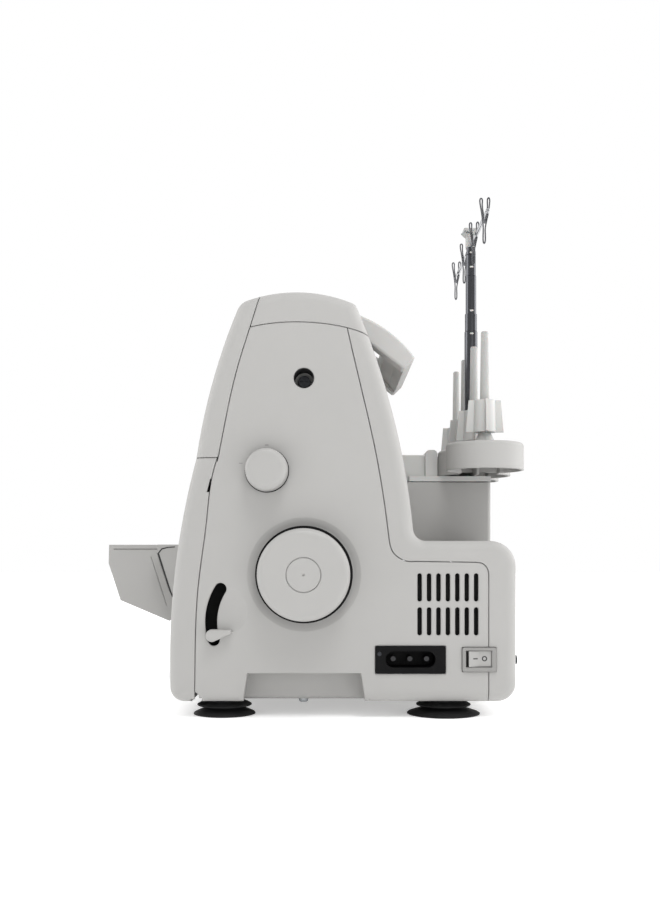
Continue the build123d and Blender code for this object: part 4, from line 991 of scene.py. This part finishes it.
@dataclass
class ArmGasket:
    """A black strip along the front edge of the free arm's right end, where the table closes against it: painted shade
    for the gap there.

    Attributes:
        route_mm: Y, Z and width of the strip at each of its bends.
        face_mm: X of the strip's back and of its face.
    """

    route_mm: tuple[Point, ...] = (
        (-110.8, 121.6, 0.8), (-117.5, 121.2, 0.9), (-122.4, 119.8, 1.1), (-125.5, 115.9, 1.5), (-121.1, 102.0, 1.5),
        (-114.8, 82.6, 1.3), (-111.4, 75.0, 1.2),
    )
    face_mm: tuple[float, float] = (-31.9, -31.3)

    def build(self) -> bpy.types.Object:
        """Lay the strip from bend to bend."""
        mesh = bmesh.new()
        back, face = self.face_mm
        left, right = [], []
        for place, (y, z, width) in enumerate(self.route_mm):
            before = self.route_mm[max(place - 1, 0)]
            after = self.route_mm[min(place + 1, len(self.route_mm) - 1)]
            along = Vector((after[0] - before[0], after[1] - before[1])).normalized()
            half = width / 2
            left.append(mm(back, y - along.y * half, z + along.x * half))
            right.append(mm(back, y + along.y * half, z - along.x * half))
        for k in range(len(left) - 1):
            plate(mesh, (left[k], left[k + 1], right[k + 1], right[k]), mm(face - back, 0, 0))
        bmesh.ops.remove_doubles(mesh, verts=mesh.verts, dist=1e-6)
        inner = [item for item in mesh.faces if all(len(edge.link_faces) > 2 for edge in item.edges if edge.is_valid)]
        bmesh.ops.delete(mesh, geom=inner, context="FACES_ONLY")
        return finish_piece(mesh, "arm_gap_shade_strip", "root", (BELT_RUBBER,))


@dataclass
class BaseScrew:
    """The pan head of the screw that holds the base pan to the frame, under the grip pocket.

    Attributes:
        place_mm: X and Y of the screw.
        seat_mm: Z of the underside that the head sits on.
    """

    place_mm: tuple[float, float] = (134.0, 6.0)
    seat_mm: float = 11.2

    def build(self) -> bpy.types.Object:
        """Turn the screw's head."""
        mesh = bmesh.new()
        seat = self.seat_mm
        profile = [(seat - 3.0, 0), (seat - 3.0, 2.2), (seat - 2.6, 3.0), (seat - 1.4, 3.5), (seat + 0.2, 3.5), (seat + 0.2, 0)]
        turned(mesh, profile, mm(*self.place_mm, 0), Vector((0, 0, 1)), 40)
        return finish_piece(mesh, "base_screw_head", "root", (ZINC_STEEL,))


@dataclass
class DarkLiners:
    """Black felt sheets behind the vents and the lever's slot, as painted shade for the dark hollow of the casing
    behind them.

    Attributes:
        sheets_mm: For each sheet its name, lowest corner and highest corner.
    """

    sheets_mm: tuple[tuple[str, Point, Point], ...] = (
        ("vent_shade_felt", (155.6, 84.5, 56.0), (156.6, 131.0, 104.0)),
        ("slot_shade_felt", (145.6, -64.0, 48.0), (146.4, -22.0, 100.0)),
    )

    def build(self) -> None:
        """Cut the felts."""
        for name, low, high in self.sheets_mm:
            mesh = bmesh.new()
            corners = [
                mm(low[0], low[1], low[2]), mm(low[0], high[1], low[2]), mm(low[0], high[1], high[2]),
                mm(low[0], low[1], high[2]),
            ]
            sheet = plate(mesh, corners, mm(high[0] - low[0], 0, 0))
            rounded(mesh, sheet, 0.2, 40.0, 1)
            finish_piece(mesh, name, "root", (SHADE_FELT,))


# ---------------------------------------------------------------- carried-over nodes


NODE_FINISH = {
    "case_screws": BLACK_OXIDE,
    "inlet_pins": SHADED_PIN_METAL,
    "switch_bezel": SWITCH_ABS,
    "switch_rocker": ROCKER_ABS,
    "carry_handle": PALE_LIT_HANDLE_ABS,
    "tower_cap": PALE_LIT_PP,
    "cone_holder_1": PALE_LIT_PP,
    "cone_holder_2": PALE_LIT_PP,
    "cone_holder_3": PALE_LIT_PP,
    "cone_holder_4": PALE_LIT_PP,
}


@dataclass
class CadDressing:
    """Gives every CAD node that still shows its real finish."""

    record: dict
    nodes: dict[str, bpy.types.Object]

    def dress(self) -> None:
        """Put the finish of each node's material slot on the node's own slots."""
        for row in self.record["subparts"]:
            finish = NODE_FINISH.get(row["node"], SLOT_FINISH[row["material_slot"]])
            node = self.nodes[row["node"]]
            if not node.material_slots:
                log.warning("%s has no material slot", row["node"])
            for slot in node.material_slots:
                slot.material = finish.material()
            log.info("%s: carried over in %s", row["node"], finish.name)


# ---------------------------------------------------------------- studio


@dataclass
class Studio:
    """Plain pale floor, soft lights and the camera.

    Attributes:
        eye: The camera's place.
        lens_mm: Focal length on a sensor 36 mm along its longer side.
        shift: Shift of the frame, across and up.
    """

    eye: tuple[float, float, float] = (0.914, 0.023, 0.1145)
    lens_mm: float = 43.0
    shift: tuple[float, float] = (0.0033, 0.1167)

    def build(self) -> None:
        """Build the floor, lights, world and camera."""
        scene = bpy.context.scene
        scene.view_settings.view_transform = "Standard"
        scene.view_settings.look = "None"
        self._floor()
        self._world()
        for name, place, aim, size, watts in (
            ("key_softbox", (0.8, 0.25, 1.35), (0.1, 0, 0.2), 0.5, 6.9),
            ("back_softbox", (-0.3, 1.6, 0.9), (0, 0, 0.2), 1.4, 18.0),
            ("front_softbox", (-0.2, -1.7, 0.8), (0, 0, 0.2), 1.2, 12.0),
            ("low_softbox", (1.5, 0.5, 0.15), (0, 0.05, 0.2), 0.9, 2.6),
        ):
            self._softbox(name, place, aim, size, watts)
        camera = bpy.data.cameras.new("side_camera")
        camera.lens = self.lens_mm
        camera.sensor_width = 36.0
        camera.shift_x, camera.shift_y = self.shift
        camera.dof.use_dof = False
        eye = bpy.data.objects.new("side_camera", camera)
        eye.location = self.eye
        eye.rotation_euler = (math.radians(90), 0.0, math.radians(90))
        scene.collection.objects.link(eye)
        scene.camera = eye

    def _floor(self) -> None:
        """Lay the floor."""
        mesh = bmesh.new()
        bmesh.ops.create_grid(mesh, x_segments=1, y_segments=1, size=6.0)
        data = bpy.data.meshes.new("studio_floor")
        mesh.to_mesh(data)
        mesh.free()
        paper = bpy.data.materials.new("white_paper_sweep")
        paper.use_nodes = True
        shader = paper.node_tree.nodes["Principled BSDF"]
        shader.inputs["Base Color"].default_value = linear("#F7F7F7")
        shader.inputs["Roughness"].default_value = 0.75
        shader.inputs["Emission Color"].default_value = linear("#FFFFFF")
        shader.inputs["Emission Strength"].default_value = 0.3
        data.materials.append(paper)
        floor = bpy.data.objects.new("studio_floor", data)
        bpy.context.scene.collection.objects.link(floor)

    def _world(self) -> None:
        """Set a bright white surround."""
        world = bpy.data.worlds.new("white_surround")
        world.use_nodes = True
        tree = world.node_tree
        tree.nodes.clear()
        direction = add_node(tree, "ShaderNodeTexCoord").outputs["Generated"]
        parts = add_node(tree, "ShaderNodeSeparateXYZ", links={"Vector": direction})
        height = add_node(
            tree, "ShaderNodeMapRange", {"interpolation_type": "SMOOTHSTEP"},
            {"From Min": -0.3, "From Max": 1.0, "To Min": 0.84, "To Max": 1.1}, {"Value": parts.outputs["Z"]},
        )
        side = add_node(
            tree, "ShaderNodeMapRange", {"interpolation_type": "SMOOTHSTEP"},
            {"From Min": -1.0, "From Max": 1.0, "To Min": 1.1, "To Max": 0.7}, {"Value": parts.outputs["X"]},
        )
        level = add_node(
            tree, "ShaderNodeMath", {"operation": "MULTIPLY"}, {},
            {0: height.outputs["Result"], 1: side.outputs["Result"]},
        )
        soft = add_node(tree, "ShaderNodeBackground", links={"Strength": level.outputs["Value"]})
        plain = add_node(tree, "ShaderNodeBackground", values={"Strength": 1.0, "Color": (1.0, 1.0, 1.0, 1.0)})
        soft.inputs["Color"].default_value = (1.0, 1.0, 1.0, 1.0)
        seen = add_node(tree, "ShaderNodeLightPath").outputs["Is Camera Ray"]
        both = add_node(tree, "ShaderNodeMixShader", links={0: seen, 1: soft.outputs[0], 2: plain.outputs[0]})
        add_node(tree, "ShaderNodeOutputWorld", links={"Surface": both.outputs[0]})
        bpy.context.scene.world = world

    def _softbox(self, name: str, place: Point, aim: Point, size: float, watts: float) -> None:
        """Hang one square softbox.

        Args:
            name: Its name.
            place: Where it hangs.
            aim: Where it points.
            size: Its side.
            watts: Its power.
        """
        light = bpy.data.lights.new(name, "AREA")
        light.size = size
        light.energy = watts
        lamp = bpy.data.objects.new(name, light)
        lamp.location = place
        lamp.rotation_euler = (Vector(aim) - Vector(place)).to_track_quat("-Z", "Y").to_euler()
        bpy.context.scene.collection.objects.link(lamp)


def main() -> None:
    """Build the machine's looks."""
    logging.basicConfig(level=logging.INFO, format="%(message)s")
    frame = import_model()
    Studio().build()
    CadDressing(frame["record"], frame["nodes"]).dress()
    Handwheel().build()
    StitchDial().build()
    FeedLever().build()
    PowerMarks(frame["nodes"]["switch_rocker"]).build()
    for number, middle in enumerate((20.0, 52.0, 84.0, 116.0), 1):
        TensionDial(number, middle).build()
    GuideHead().build()
    WireGuides().build()
    TubeClips().build()
    Feet().build()
    BaseScrew().build()
    ArmGasket().build()
    DarkLiners().build()
    PortSleeve().build()


if __name__ == "__main__":
    main()
